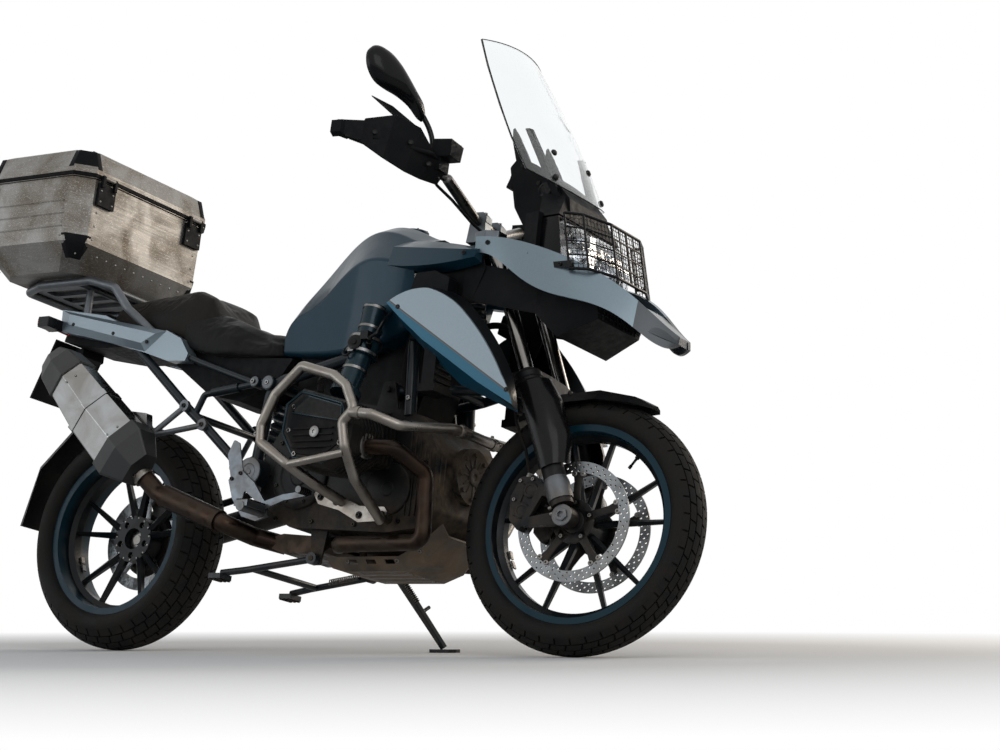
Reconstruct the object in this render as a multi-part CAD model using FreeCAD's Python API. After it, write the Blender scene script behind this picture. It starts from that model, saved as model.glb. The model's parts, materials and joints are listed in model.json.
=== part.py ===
import FreeCAD, Part
import math
import os

os.makedirs("parts", exist_ok=True)

# Adventure motorcycle with a flat twin engine, a drive shaft on its left and a top case.
# It is built upright: x runs forward from the rear axle, y to the left, z up from the road.
# At the end the front end turns, all leans onto the side stand, and the origin goes to the
# ground under the middle of the bounding box. Lengths are in millimetres, angles in degrees.

# Stance
wheelbase = 1507.0
rake = 25.5
trail = 99.6
lean = 10.46
rest_steer = 5.9

# Wheels: radius over the tyre, its width, the bead seat, the rim edge and half the rim's width
front_size = dict(radius=325.0, width=120.0, bead=241.3, edge=254.0, half=44.0, crown=64.0)
rear_size = dict(radius=318.0, width=170.0, bead=215.9, edge=230.0, half=64.0, crown=92.0)
edge_wall = 5.0
rim_wall = 7.0
well_depth = 14.0
tyre_gap = 0.3
spoke_pairs = 5
spoke_spread = 14.0
disc_wall = 4.5
front_disc_radius = 152.5
front_disc_y = 61.0
rear_disc_radius = 138.0
rear_disc_y = 66.0
axle_radius = 12.5
axle_bore = 8.0
bearing_gap = 0.05
hub_gap = 0.3

# Front end
leg_angle = 22.8
leg_y = 105.0
stanchion_radius = 18.5
slider_radius = 29.0
collar_radius = 35.0
slider_top = 396.0
bar_radius = 14.3
bar_end_radius = 11.1
grip_radius = 17.0
fender_gap = 13.0
fender_wall = 4.0
fender_half = 74.0
fender_drop = 26.0
ball_height = 690.0
top_bridge_height = 1052.0
head_low = 966.0
head_top = 1012.0
stem_radius = 16.0

# Engine and running gear
engine_half = 140.0
head_face = 370.0
airbox_half = 76.0
pipe_radius = 21.0
link_radius = 25.0
bar_tube = 13.5
bar_joint_gap = 0.1
frame_tube = 16.0
silencer_y = 262.0
shaft_y = 140.0
shaft_radius = 38.0
sheet_wall = 4.0
skid_floor = 200.0

# Front arm, held on pins between lugs on the engine
arm_pivot_x = 960.0
arm_pivot_z = 668.0
arm_y = 112.0
arm_eye = 34.0
arm_pin = 8.0
lug_wall = 7.0

# Stands: where they hinge, where the side stand's foot stands, which way it lies stowed
stand_pivot = (830.0, 142.0, 249.0)
stand_foot = (936.0, 262.0)
stand_stowed = (-0.97, 0.22, 0.1)
stand_eye = 22.0
stand_pin = 7.0
centre_pivot = (770.0, 128.0, 226.0)
centre_eye = 20.0

# Engine details and the screen
fin_count = 5
fin_pitch = 17.0
fin_wall = 6.0
cover_bolts = 58.0
hose_radius = 4.0
pedal_radius = 9.0
screen_wall = 4.0

# Handlebar, columns: x, y, z of its right half
bar_height = top_bridge_height + 84
bar_x = 1114.0
bar_points = [(bar_x, -68.0, bar_height), (bar_x - 18, -200.0, bar_height + 62),
              (bar_x - 58, -300.0, bar_height + 88), (bar_x - 172, -472.0, bar_height + 101)]
bar_end = bar_points[-1]
grip_start = bar_points[2]

# Luggage case
case_back = -505.0
case_front = -101.0
case_half = 280.0
case_corner = 47.0
case_floor = 1050.0
case_waist = 1124.0
case_rim = 1314.0
case_top = 1405.0
case_wall = 3.0
lid_gap = 1.0
rack_top = 1049.7
hinge_y = 190.0
hinge_half = 20.0
hinge_radius = 6.5
hinge_pin = 3.0
hinge_x = case_front + 12.0
hinge_z = case_rim + 9.0

axle_front = (wheelbase, 0.0, front_size["radius"])
axle_rear = (0.0, 0.0, rear_size["radius"])


def vector(point):
    return FreeCAD.Vector(*point)


def box(x0, x1, y0, y1, z0, z1):
    return Part.makeBox(x1 - x0, y1 - y0, z1 - z0, FreeCAD.Vector(x0, y0, z0))


def rod(start, end, radius):
    first = vector(start)
    path = vector(end) - first
    return Part.makeCylinder(radius, path.Length, first, path)


def sleeve(start, end, radius, bore):
    return rod(start, end, radius).cut(rod(start, end, bore))


def join(shapes):
    whole = shapes[0]
    if len(shapes) > 1:
        whole = whole.fuse(shapes[1:])
    return whole.removeSplitter()


def mirrored(shape):
    return shape.mirror(FreeCAD.Vector(0, 0, 0), FreeCAD.Vector(0, 1, 0))


def both(shape):
    return Part.makeCompound([shape, mirrored(shape)])


def turned(shape, point, axis, angle):
    copy = shape.copy()
    copy.rotate(vector(point), vector(axis), angle)
    return copy


# Corners of a line become tangent arcs; open lines keep their two ends.
def rounded(points, radius, closed):
    corners = [vector(point) for point in points]
    count = len(corners)
    runs = []
    for index, corner in enumerate(corners):
        if not closed and index in (0, count - 1):
            runs.append((corner, corner, None))
            continue
        before = (corners[index - 1] - corner).normalize()
        after = (corners[(index + 1) % count] - corner).normalize()
        half = before.getAngle(after) / 2
        if radius <= 0 or half > math.radians(89.5):
            runs.append((corner, corner, None))
            continue
        reach = radius / math.tan(half)
        middle = (before + after).normalize() * (radius / math.sin(half) - radius)
        runs.append((corner + before * reach, corner + after * reach, corner + middle))
    edges = []
    for index, (start, end, middle) in enumerate(runs):
        if middle is not None:
            edges.append(Part.Arc(start, middle, end).toShape())
        if closed or index < count - 1:
            target = runs[(index + 1) % count][0]
            if (target - end).Length > 1e-6:
                edges.append(Part.LineSegment(end, target).toShape())
    return Part.Wire(edges)


def tube(points, radius, bend):
    path = rounded(points, bend, False)
    first = vector(points[0])
    heading = vector(points[1]) - first
    ring = Part.Wire([Part.Circle(first, heading, radius).toShape()])
    return path.makePipeShell([ring], True, False)


# A flat outline of (x, z) pairs, drawn out sideways from one y to the other
def side_prism(outline, y0, y1, radius=0.0):
    wire = rounded([(x, y0, z) for x, z in outline], radius, True)
    return Part.Face(wire).extrude(FreeCAD.Vector(0, y1 - y0, 0))


# A flat outline of (x, y) pairs, drawn up from one z to the other
def floor_prism(outline, z0, z1, radius=0.0):
    wire = rounded([(x, y, z0) for x, y in outline], radius, True)
    return Part.Face(wire).extrude(FreeCAD.Vector(0, 0, z1 - z0))


def loft(outlines, radius=0.0):
    wires = [rounded(outline, radius, True) for outline in outlines]
    return Part.makeLoft(wires, True, True)


# A body through all its outlines whose skin runs smoothly from one to the next
def flowing(outlines, radius=0.0):
    wires = [rounded(outline, radius, True) for outline in outlines]
    return Part.makeLoft(wires, True, False)


# A flat outline of (distance from the axle, y) pairs, spun about the axle
def spun(outline, centre):
    points = [FreeCAD.Vector(centre[0] + r, y, centre[2]) for r, y in outline]
    face = Part.Face(Part.makePolygon(points + points[:1]))
    return face.revolve(vector(centre), FreeCAD.Vector(0, 1, 0), 360)


def around(centre, radius, angle, y):
    spread = math.radians(angle)
    return (centre[0] + radius * math.cos(spread), y, centre[2] + radius * math.sin(spread))


def steering_x(height):
    return wheelbase + trail - height * math.tan(math.radians(rake))


def on_steering_axis(height):
    return (steering_x(height), 0.0, height)


# A point on a fork leg's centre line, by its distance up from the axle
def leg_point(reach, y):
    slope = math.radians(leg_angle)
    return (axle_front[0] - reach * math.sin(slope), y, axle_front[2] + reach * math.cos(slope))


def leg_reach(height):
    return (height - axle_front[2]) / math.cos(math.radians(leg_angle))


# Wheels

def make_rim(size, centre, hub_radius, hub_near, hub_far, spoke_y):
    bead, edge, half = size["bead"], size["edge"], size["half"]
    well = bead - well_depth
    barrel = spun([
        (edge, half), (edge, half - edge_wall), (bead, half - edge_wall - 2), (bead - 1, 20),
        (well, 12), (well, -12), (bead - 1, -20), (bead, edge_wall + 2 - half),
        (edge, edge_wall - half), (edge, -half), (bead - 4, -half), (bead - rim_wall, -22),
        (well - rim_wall, -13), (well - rim_wall, 13), (bead - rim_wall, 22), (bead - 4, half),
    ], centre)
    pieces = [barrel, rod((centre[0], hub_near, centre[2]), (centre[0], hub_far, centre[2]),
                          hub_radius)]
    inner = hub_radius - 6
    outer = well - rim_wall + 3
    for pair in range(spoke_pairs):
        middle = 360.0 / spoke_pairs * pair + 90
        for side in (-1, 1):
            pieces.append(make_spoke(centre, inner, outer, middle + side * spoke_spread * 0.6,
                                     middle + side * spoke_spread, spoke_y))
    return join(pieces)


def make_spoke(centre, inner, outer, angle_in, angle_out, spoke_y):
    # columns: distance from the axle, angle, half width, y of the spoke's middle, half depth
    stations = [(inner, angle_in, 10, spoke_y[0], 15), (outer, angle_out, 6, spoke_y[1], 11)]
    outlines = []
    for reach, angle, half_width, middle, half_depth in stations:
        foot = vector(around(centre, reach, angle, middle))
        across = FreeCAD.Vector(-math.sin(math.radians(angle)), 0, math.cos(math.radians(angle)))
        depth = FreeCAD.Vector(0, half_depth, 0)
        outlines.append([tuple(foot + across * half_width - depth * 0.4),
                         tuple(foot + across * half_width * 0.5 + depth),
                         tuple(foot - across * half_width * 0.5 + depth),
                         tuple(foot - across * half_width - depth * 0.4),
                         tuple(foot - depth)])
    return loft(outlines)


def make_tyre(size, centre):
    radius, half, edge = size["radius"], size["width"] / 2, size["edge"]
    seat = size["half"] - edge_wall - tyre_gap
    crown = size["crown"]
    shoulder = half * 0.86
    drop = crown - math.sqrt(crown ** 2 - shoulder ** 2)

    def spot(reach, y):
        return FreeCAD.Vector(centre[0] + reach, y, centre[2])

    outer = [spot(edge + 1.5, size["half"] - 1), spot((edge + radius) / 2 - 8, half),
             spot(radius - drop, shoulder)]
    wall = Part.Arc(outer[0], outer[1], outer[2]).toShape()
    tread = Part.Arc(outer[2], spot(radius, 0), spot(radius - drop, -shoulder)).toShape()
    far = Part.Arc(spot(radius - drop, -shoulder), spot((edge + radius) / 2 - 8, -half),
                   spot(edge + 1.5, 1 - size["half"])).toShape()
    inside = Part.makePolygon([spot(edge + 1.5, 1 - size["half"]), spot(edge + 1.5, -seat),
                               spot(size["bead"] + 1, 2 - seat), spot(size["bead"] + 1, seat - 2),
                               spot(edge + 1.5, seat), spot(edge + 1.5, size["half"] - 1)])
    face = Part.Face(Part.Wire([wall, tread, far] + inside.Edges))
    return face.revolve(vector(centre), FreeCAD.Vector(0, 1, 0), 360)


def make_disc(centre, radius, middle, inner, arms, hub_radius):
    near, far = middle - disc_wall / 2, middle + disc_wall / 2
    ring = spun([(radius, near), (radius, far), (inner, far), (inner, near)], centre)
    pieces = [ring]
    for arm in range(arms):
        angle = 360.0 / arms * arm + 18
        root = vector(around(centre, hub_radius, angle, near))
        tip = vector(around(centre, inner + 3, angle, near))
        across = (tip - root).cross(FreeCAD.Vector(0, 1, 0)).normalize()
        corners = [root + across * 12, tip + across * 6, tip - across * 6, root - across * 12]
        face = Part.Face(Part.makePolygon(corners + corners[:1]))
        pieces.append(face.extrude(FreeCAD.Vector(0, disc_wall, 0)))
    boss = spun([(hub_radius + 6, near), (hub_radius + 6, far), (hub_radius - 8, far),
                 (hub_radius - 8, near)], centre)
    pieces.append(boss)
    return join(pieces)


def make_front_rim():
    near = front_disc_y - disc_wall / 2
    rim = make_rim(front_size, axle_front, 38.0, -near, near, (0.0, 0.0))
    return rim.cut(rod((wheelbase, -200, axle_front[2]), (wheelbase, 200, axle_front[2]),
                       axle_radius + bearing_gap))


def make_front_discs():
    disc = make_disc(axle_front, front_disc_radius, front_disc_y, front_disc_radius - 28, 5, 30.0)
    return both(disc)


def make_rear_rim():
    near = rear_disc_y - disc_wall / 2
    rim = make_rim(rear_size, axle_rear, 66.0, 14.0, near, (26.0, 2.0))
    height = axle_rear[2]
    holes = [rod((0, 0, height), (0, 44, height), 30.0)]
    for index in range(spoke_pairs):
        x, y, z = around(axle_rear, 47.0, 360.0 / spoke_pairs * index + 54, 0)
        holes.append(rod((x, 0, z), (x, 34, z), 9.0))
    return rim.cut(Part.makeCompound(holes))


def make_rear_disc():
    return make_disc(axle_rear, rear_disc_radius, rear_disc_y, rear_disc_radius - 30, 5, 56.0)


# Front end that turns with the bars

def make_fork_tubes():
    top = leg_reach(top_bridge_height + 21.5)
    legs = [rod(leg_point(slider_top + 1, y), leg_point(top, y), stanchion_radius)
            for y in (-leg_y, leg_y)]
    x = steering_x(top_bridge_height)
    leg_x = leg_point(leg_reach(top_bridge_height), 0)[0]
    half = [(x - 34, 26), (x + 10, 40), (leg_x - 46, leg_y + 20), (leg_x - 10, leg_y + 32),
            (leg_x + 24, leg_y + 20), (leg_x + 30, leg_y - 14), (leg_x - 10, 48)]
    outline = half + [(px, -py) for px, py in reversed(half)]
    bridge = floor_prism(outline, top_bridge_height, top_bridge_height + 26, 6)
    stem = rod(on_steering_axis(head_top + 2), on_steering_axis(top_bridge_height + 20), 24.0)
    pin = rod(on_steering_axis(head_low), on_steering_axis(top_bridge_height), stem_radius)
    risers = []
    for y in (-40, 40):
        risers.append(loft([
            [(x - 16, y - 17, top_bridge_height + 26), (x + 40, y - 17, top_bridge_height + 26),
             (x + 40, y + 17, top_bridge_height + 26), (x - 16, y + 17, top_bridge_height + 26)],
            [(x - 12, y - 15, bar_height), (x + 34, y - 15, bar_height),
             (x + 34, y + 15, bar_height), (x - 12, y + 15, bar_height)]]))
        risers.append(side_prism([(x - 14, bar_height - 1), (x + 36, bar_height - 1),
                                  (x + 36, bar_height + 14), (x + 24, bar_height + 26),
                                  (x - 4, bar_height + 26), (x - 14, bar_height + 14)],
                                 y - 15, y + 15))
    whole = join(legs + [bridge, stem, pin] + risers)
    return whole.cut(make_handlebar())


def bar_spot(share):
    start, end = vector(grip_start), vector(bar_end)
    return tuple(start + (end - start) * share)


def make_handlebar():
    middle = [bar_points[1], bar_points[0]]
    points = middle + [(x, -y, z) for x, y, z in reversed(middle)]
    centre = tube(points, bar_radius, 70)
    outer = tube([bar_spot(1.0), bar_points[2], bar_points[1]], bar_end_radius, 60)
    knee = Part.makeSphere(bar_radius, vector(bar_points[1]))
    half = join([outer, knee])
    return join([centre, half, mirrored(half)])


# Grip, lever with its perch, switch box, brake fluid cup and the weight at the bar's end
def make_hand_controls():
    handlebar = make_handlebar()
    grip = rod(bar_spot(0.22), bar_spot(0.93), grip_radius)
    weight = rod(bar_spot(0.94), bar_spot(1.08), grip_radius + 3)
    switches = rod(bar_spot(0.02), bar_spot(0.2), 24.0)
    sx, sy, sz = bar_points[2]
    perch = box(sx - 6, sx + 62, sy + 16, sy + 62, sz - 30, sz + 14)
    cup = loft([[(sx + 38, sy + 12, sz + 4), (sx + 92, sy + 12, sz + 4),
                 (sx + 92, sy + 66, sz + 4), (sx + 38, sy + 66, sz + 4)],
                [(sx + 34, sy + 8, sz + 50), (sx + 94, sy + 8, sz + 46),
                 (sx + 94, sy + 70, sz + 46), (sx + 34, sy + 70, sz + 50)]])
    ex, ey, ez = bar_spot(0.85)
    lever = tube([(sx + 50, sy + 30, sz), (sx + 56, sy - 20, sz - 2), (ex + 52, ey, ez - 12)],
                 6.0, 30)
    control = join([grip.fuse(switches), perch, cup, lever, weight]).cut(handlebar)
    return both(control)


# A bent shield in front of each hand, with a small spoiler on top
def make_handguards():
    # columns: x, y and z of the upper edge, x and z of the lower edge
    b = bar_height
    stations = [(1110, -246, b + 60, 1092, b + 30), (1104, -308, b + 100, 1080, b + 22),
                (1092, -360, b + 140, 1062, b + 24), (1050, -420, b + 154, 1030, b + 40),
                (990, -462, b + 132, 984, b + 70)]
    blades = []
    for (x0, y0, t0, lx0, l0), (x1, y1, t1, lx1, l1) in zip(stations, stations[1:]):
        blades.append(loft([
            [(x0, y0, t0), (x0 + 5, y0 - 3, t0), (lx0 + 5, y0 - 3, l0), (lx0, y0, l0)],
            [(x1, y1, t1), (x1 + 5, y1 - 3, t1), (lx1 + 5, y1 - 3, l1), (lx1, y1, l1)]]))
    spoiler = loft([
        [(1050, -418, b + 150), (1055, -421, b + 150), (1096, -358, b + 136),
         (1091, -355, b + 136)],
        [(982, -436, b + 206), (986, -440, b + 206), (1030, -404, b + 188),
         (1026, -400, b + 188)]])
    ex, ey, ez = bar_spot(1.08)
    holder = loft([
        [(ex - 14, ey - 2, ez - 24), (ex + 22, ey - 2, ez - 24), (ex + 22, ey - 2, ez + 20),
         (ex - 14, ey - 2, ez + 20)],
        [(ex - 12, ey - 20, ez - 18), (ex + 18, ey - 20, ez - 18), (ex + 18, ey - 20, ez + 14),
         (ex - 12, ey - 20, ez + 14)]])
    arm = loft([
        [(ex + 4, ey - 18, ez - 18), (ex + 4, ey - 2, ez - 18), (ex + 4, ey - 2, ez + 16),
         (ex + 4, ey - 18, ez + 16)],
        [(992, -466, b + 74), (988, -458, b + 74), (992, -458, b + 126), (996, -466, b + 126)]])
    brace = rod((1106, -262, b + 46), (1084, -262, b + 42), 7.0)
    guard = join(blades + [spoiler, holder, arm, brace])
    return both(guard.cut(make_hand_controls()).cut(make_handlebar()))


def make_mirrors():
    # columns: y across the glass, z, measured from the head's middle
    rim = [(-88, -8), (-74, 34), (-30, 54), (36, 50), (78, 22), (86, -16), (58, -44), (-20, -52),
           (-70, -38)]
    cx, cy, cz = 985.0, -400.0, bar_height + 284
    outlines = []
    for offset, share in ((-10, 0.94), (0, 1.0), (22, 0.78), (36, 0.36)):
        outlines.append([(cx + offset - z * share * 0.22 - y * share * 0.3,
                          cy + y * share, cz + z * share) for y, z in rim])
    head = loft(outlines)
    sx, sy, sz = bar_points[2]
    stalk = tube([(sx + 34, sy + 30, sz + 14), (sx + 36, sy + 26, sz + 60),
                  (1052, -350, cz - 68), (1006, -392, cz - 16)], 7.0, 22)
    mirror = join([head, stalk]).cut(make_hand_controls())
    keep = max(mirror.Solids, key=lambda solid: solid.Volume)
    return both(keep)


def make_fork_sliders():
    pieces = []
    for y in (-leg_y, leg_y):
        pieces.append(rod(leg_point(30, y), leg_point(slider_top, y), slider_radius))
        pieces.append(rod(leg_point(slider_top - 34, y), leg_point(slider_top, y), collar_radius))
        near, far = (y - 20, y + 20)
        pieces.append(rod((wheelbase, near, axle_front[2]), (wheelbase, far, axle_front[2]), 27.0))
        side = 1 if y > 0 else -1
        # the three-cornered lug that carries the brake caliper
        frame = side_prism([(wheelbase - 4, axle_front[2] + 22), (1440, 412), (1424, 404),
                            (1386, 314), (1390, 300), (wheelbase - 8, axle_front[2] - 20)],
                           y - side * 12, y + side * 4)
        window = side_prism([(1478, 338), (1446, 378), (1436, 378), (1408, 324)],
                            y - side * 30, y + side * 30)
        pieces.append(frame.cut(window))
    height = ball_height
    x = steering_x(height)
    leg_x = leg_point(leg_reach(height), 0)[0]
    outline = [(x + 28, 24), (leg_x - 24, leg_y - 8), (leg_x + 22, leg_y - 6), (leg_x + 30, 40),
               (leg_x + 30, -40), (leg_x + 22, 6 - leg_y), (leg_x - 24, 8 - leg_y), (x + 28, -24)]
    bridge = floor_prism(outline, height - 14, height + 18, 4)
    cup = rod((x, 0, height + 12), (x, 0, height + 38), 27.0)
    arm = side_prism([(x, height + 14), (x + 50, height + 2), (x + 50, height + 18),
                      (x + 14, height + 38), (x, height + 38)], -20, 20)
    whole = join(pieces + [bridge, cup, arm])
    whole = whole.cut(Part.makeSphere(24.3, FreeCAD.Vector(x, 0, height)))
    whole = whole.cut(rod((wheelbase, -300, axle_front[2]), (wheelbase, 300, axle_front[2]),
                          axle_radius))
    return whole


def make_front_axle():
    half = leg_y + 26
    axle = sleeve((wheelbase, -half, axle_front[2]), (wheelbase, half, axle_front[2]),
                  axle_radius, axle_bore)
    spacers = []
    inner = front_disc_y + disc_wall / 2 + 1.0
    for side in (-1, 1):
        spacers.append(sleeve((wheelbase, side * inner, axle_front[2]),
                              (wheelbase, side * (leg_y - 20), axle_front[2]), 18.0,
                              axle_radius))
    return join([axle] + spacers)


def make_front_fender():
    inner = front_size["radius"] + fender_gap
    outer = inner + fender_wall
    # columns: angle about the axle, half width there
    stations = [(62, 30), (70, 62), (86, fender_half), (104, fender_half), (126, 66)]
    pieces = []
    for (a0, w0), (a1, w1) in zip(stations, stations[1:]):
        outlines = []
        for angle, half in ((a0, w0), (a1, w1)):
            lift = 0 if angle > 80 else 4
            drop = fender_drop * (half / fender_half) ** 2
            outlines.append([around(axle_front, reach + lift, angle, y) for reach, y in (
                (inner - drop, -half), (inner - drop, fender_wall - half),
                (inner, -half * 0.6), (inner + 4, 0), (inner, half * 0.6),
                (inner - drop, half - fender_wall), (inner - drop, half),
                (outer, half * 0.66), (outer + 5, 0), (outer, -half * 0.66))])
        pieces.append(loft(outlines))
    stays = []
    for side in (-1, 1):
        stays.append(box(1352, 1400, side * 50 - 9, side * 50 + 9, 630, ball_height - 14))
    return join(pieces + stays)


# Four-piston caliper over the disc, behind the leg
def make_front_calipers():
    outline = [(1436, 402), (1400, 436), (1362, 430), (1340, 380), (1344, 320), (1372, 292),
               (1386, 314), (1424, 404)]
    body = side_prism(outline, -leg_y + 12.3, -front_disc_y + 22, 5)
    slot = spun([(front_disc_radius + 3, -front_disc_y - 4.5), (front_disc_radius + 3,
                 -front_disc_y + 4.5), (front_disc_radius - 60, -front_disc_y + 4.5),
                 (front_disc_radius - 60, -front_disc_y - 4.5)], axle_front)
    return both(body.cut(slot))


def make_brake_hoses():
    hoses = []
    for side in (1, -1):
        points = [(1384, side * -88, 434.5), (1368, side * -96, 500), (1330, side * -92, 570),
                  (1306, side * -80, 640), (1300, side * -64, 690)]
        hoses.append(tube(points, hose_radius, 30))
        sx, sy, sz = bar_points[2]
        points = [(sx + 28, -side * (sy + 52), sz - 31), (sx + 30, -side * (sy + 54), sz - 52),
                  (sx + 54, -side * -190, sz - 78), (sx + 78, -side * -112, sz - 116),
                  (sx + 96, -side * -84, top_bridge_height + 40),
                  (sx + 98, -side * -80, top_bridge_height + 27)]
        hoses.append(tube(points, hose_radius, 24))
    return Part.makeCompound(hoses)


# Frame and body

def make_main_frame():
    pieces = []
    for side in (-1, 1):
        pieces.append(tube([(1078, side * 52, 985), (900, side * 96, 800),
                            (569, side * 136, 700), (548, side * 140, 470)], frame_tube, 60))
        pieces.append(tube([(1062, side * 50, 972), (1020, side * 132, 790),
                            (1034, side * 132, 596)], frame_tube, 50))
        pieces.append(rod((540, side * 128, 702), (600, side * 128, 702), 5.0))
        pieces.append(rod((560, side * 118, 452), (560, side * 176, 452), 40.0))
        pieces.append(rod((569, side * 120, 700), (569, side * 160, 700), 20.0))
        pieces.append(rod((519, side * 136, 706), (569, side * 136, 700), 12.0))
        pieces.append(rod((519, side * 122, 706), (519, side * 156, 706), 15.0))
    pieces.append(rod((900, -96, 800), (900, 96, 800), 13.0))
    pieces.append(rod((569, -136, 700), (569, 136, 700), 13.0))
    pieces.append(rod(on_steering_axis(head_low), on_steering_axis(head_top), 34.0))
    pieces.append(box(1046, 1130, -60, 60, 958, 990))
    bore = rod(on_steering_axis(head_low - 60), on_steering_axis(head_top + 60),
               stem_radius + bearing_gap)
    return join(pieces).cut(bore)


def make_rear_subframe():
    pieces = []
    for side in (-1, 1):
        y = side * 134
        pieces.append(tube([(-196, side * 112, 934), (18, side * 128, 862), (280, y, 644),
                            (342, y, 598), (500, y, 470)], 13.0, 50))
        pieces.append(tube([(240, y, 800), (302, y, 776), (509, y, 706)], 9.0, 30))
        pieces.append(tube([(304, y, 628), (330, y, 684), (474, y, 702), (512, y, 706)], 9.0, 16))
        pieces.append(rod((360, y, 689), (450, y, 699), 13.0))
    pieces.append(rod((18, -128, 862), (18, 128, 862), 10.0))
    pieces.append(rod((300, -134, 626), (300, 134, 626), 10.0))
    return join(pieces)


# The side stand swings about a slanting pin, from its foot's place to its place along the bike
def stand_directions():
    tilt = math.tan(math.radians(lean))
    foot = FreeCAD.Vector(stand_foot[0], stand_foot[1], stand_foot[1] * tilt + 12)
    down = (foot - vector(stand_pivot)).normalize()
    stowed = FreeCAD.Vector(*stand_stowed).normalize()
    axis = down.cross(stowed).normalize()
    return down, axis, (foot - vector(stand_pivot)).Length


def on_stand_axis(distance):
    return tuple(vector(stand_pivot) + stand_directions()[1] * distance)


# Flat twin: crankcase with gearbox behind, closed inside
def make_engine():
    side = [(600, 352), (690, 308), (1000, 290), (1100, 300), (1140, 350), (1138, 500),
            (1090, 590), (1010, 612), (840, 640), (700, 624), (620, 570), (576, 500), (576, 392)]
    block = side_prism(side, -engine_half, engine_half, 18)
    cover = rod((1136, 0, 460), (1160, 0, 460), 74.0)
    sump = side_prism([(830, 262), (1060, 262), (1090, 300), (800, 300)], -62, 62)
    pieces = [block, cover, sump]
    for x in (880, 1030):
        for y in (-60, 60):
            pieces.append(rod((x, y, skid_floor + sheet_wall), (x, y, 270), 10.0))
    for angle in range(0, 360, 45):
        y = cover_bolts * math.cos(math.radians(angle))
        z = 460 + cover_bolts * math.sin(math.radians(angle))
        pieces.append(rod((1148, y, z), (1165, y, z), 6.0))
    for side in (-1, 1):
        for near in (arm_y - arm_eye / 2 - lug_wall - 0.3, arm_y + arm_eye / 2 + 0.3):
            pieces.append(side_prism([(920, 600), (1000, 600), (978, 690), (942, 690)],
                                     side * near, side * (near + lug_wall), 8))
        pieces.append(rod((arm_pivot_x, side * (arm_y - 34), arm_pivot_z),
                          (arm_pivot_x, side * (arm_y + 34), arm_pivot_z), arm_pin))
    # the side stand's bracket under the left of the crankcase
    sx, sy, sz = stand_pivot
    pieces.append(side_prism([(sx - 26, 306), (sx + 18, 306), (sx + 12, sz - 12),
                              (sx - 18, sz - 12)], 113, 121, 6))
    seat = stand_eye / 2 + 0.3
    pieces.append(rod(on_stand_axis(-seat - 9), on_stand_axis(-seat), 14.0))
    pieces.append(rod(on_stand_axis(-seat - 9), on_stand_axis(stand_eye / 2), stand_pin))
    # lugs and pins of the centre stand
    for side in (-1, 1):
        px, py, pz = centre_pivot
        inner = py - centre_eye / 2 - 0.3 - lug_wall
        pieces.append(side_prism([(px - 26, 306), (px + 30, 306), (px + 16, pz - 14),
                                  (px - 14, pz - 14)], side * inner,
                                 side * (inner + lug_wall), 6))
        pieces.append(rod((px, side * inner, pz), (px, side * (py + centre_eye / 2 + 2), pz),
                          stand_pin))
    return join(pieces)


def make_cylinder():
    near = engine_half
    barrel = rod((925, -near, 520), (925, -near - 96, 520), 62.0)
    pieces = [barrel]
    for index in range(fin_count):
        y = -near - 8 - fin_pitch * index
        pieces.append(side_prism([(846, 452), (1004, 452), (1010, 500), (1004, 588), (852, 592),
                                  (840, 500)], y - fin_wall, y, 12))
    outline = [(802, 500), (806, 585), (858, 622), (1008, 582), (1034, 522), (1028, 452),
               (962, 408), (852, 424)]
    head = side_prism(outline, -near - 92, -head_face + 42, 10)
    middle = (918, 512)

    def shrunk(share, y):
        return [(middle[0] + (x - middle[0]) * share, y, middle[1] + (z - middle[1]) * share)
                for x, z in outline]

    cover = loft([shrunk(0.99, -head_face + 42), shrunk(0.97, -head_face + 14),
                  shrunk(0.82, -head_face)])
    plate = side_prism([(845, 553), (892, 596), (1000, 566), (1004, 524), (930, 536)],
                       -head_face + 4, -head_face - 5, 6)
    return join(pieces + [head, cover, plate])


def make_intakes():
    throat = tube([(915, -262, 626), (918, -226, 720), (924, -202, 800), (930, -196, 876)],
                  30.0, 60)
    body = rod((920, -220, 735), (922, -208, 786), 40.0)
    flange = rod((915, -262, 622), (916, -256, 638), 40.0)
    return both(join([throat, body, flange]))


# Airbox between the frame's tubes, on the crankcase and under the tank
def make_airbox():
    return side_prism([(606, 590), (1004, 590), (1036, 690), (1030, 820), (860, 800), (606, 806)],
                      -airbox_half, airbox_half, 12)


def make_exhaust_pipes():
    pieces = []
    for side in (-1, 1):
        run = 150 if side < 0 else 88
        pieces.append(tube([(1020, side * 290, 478), (1098, side * 268, 478),
                            (1138, side * 178, 430), (1142, side * 164, 258),
                            (868, side * run, 258), (806, side * 70, 272), (780, side * 62, 274)],
                           pipe_radius, 30))
    box_outline = [(600, 262), (640, 248), (780, 248), (800, 262), (800, 288), (640, 300),
                   (600, 292)]
    pieces.append(side_prism(box_outline, -100, 100, 6))
    pieces.append(tube([(620, -60, 276), (560, -120, 288), (520, -200, 306), (280, -214, 394),
                        (212, -240, 462)], link_radius, 44))
    pieces.append(rod((500, -201.2, 313.3), (304, -212.6, 385.2), 31.0))
    return join(pieces)


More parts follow.
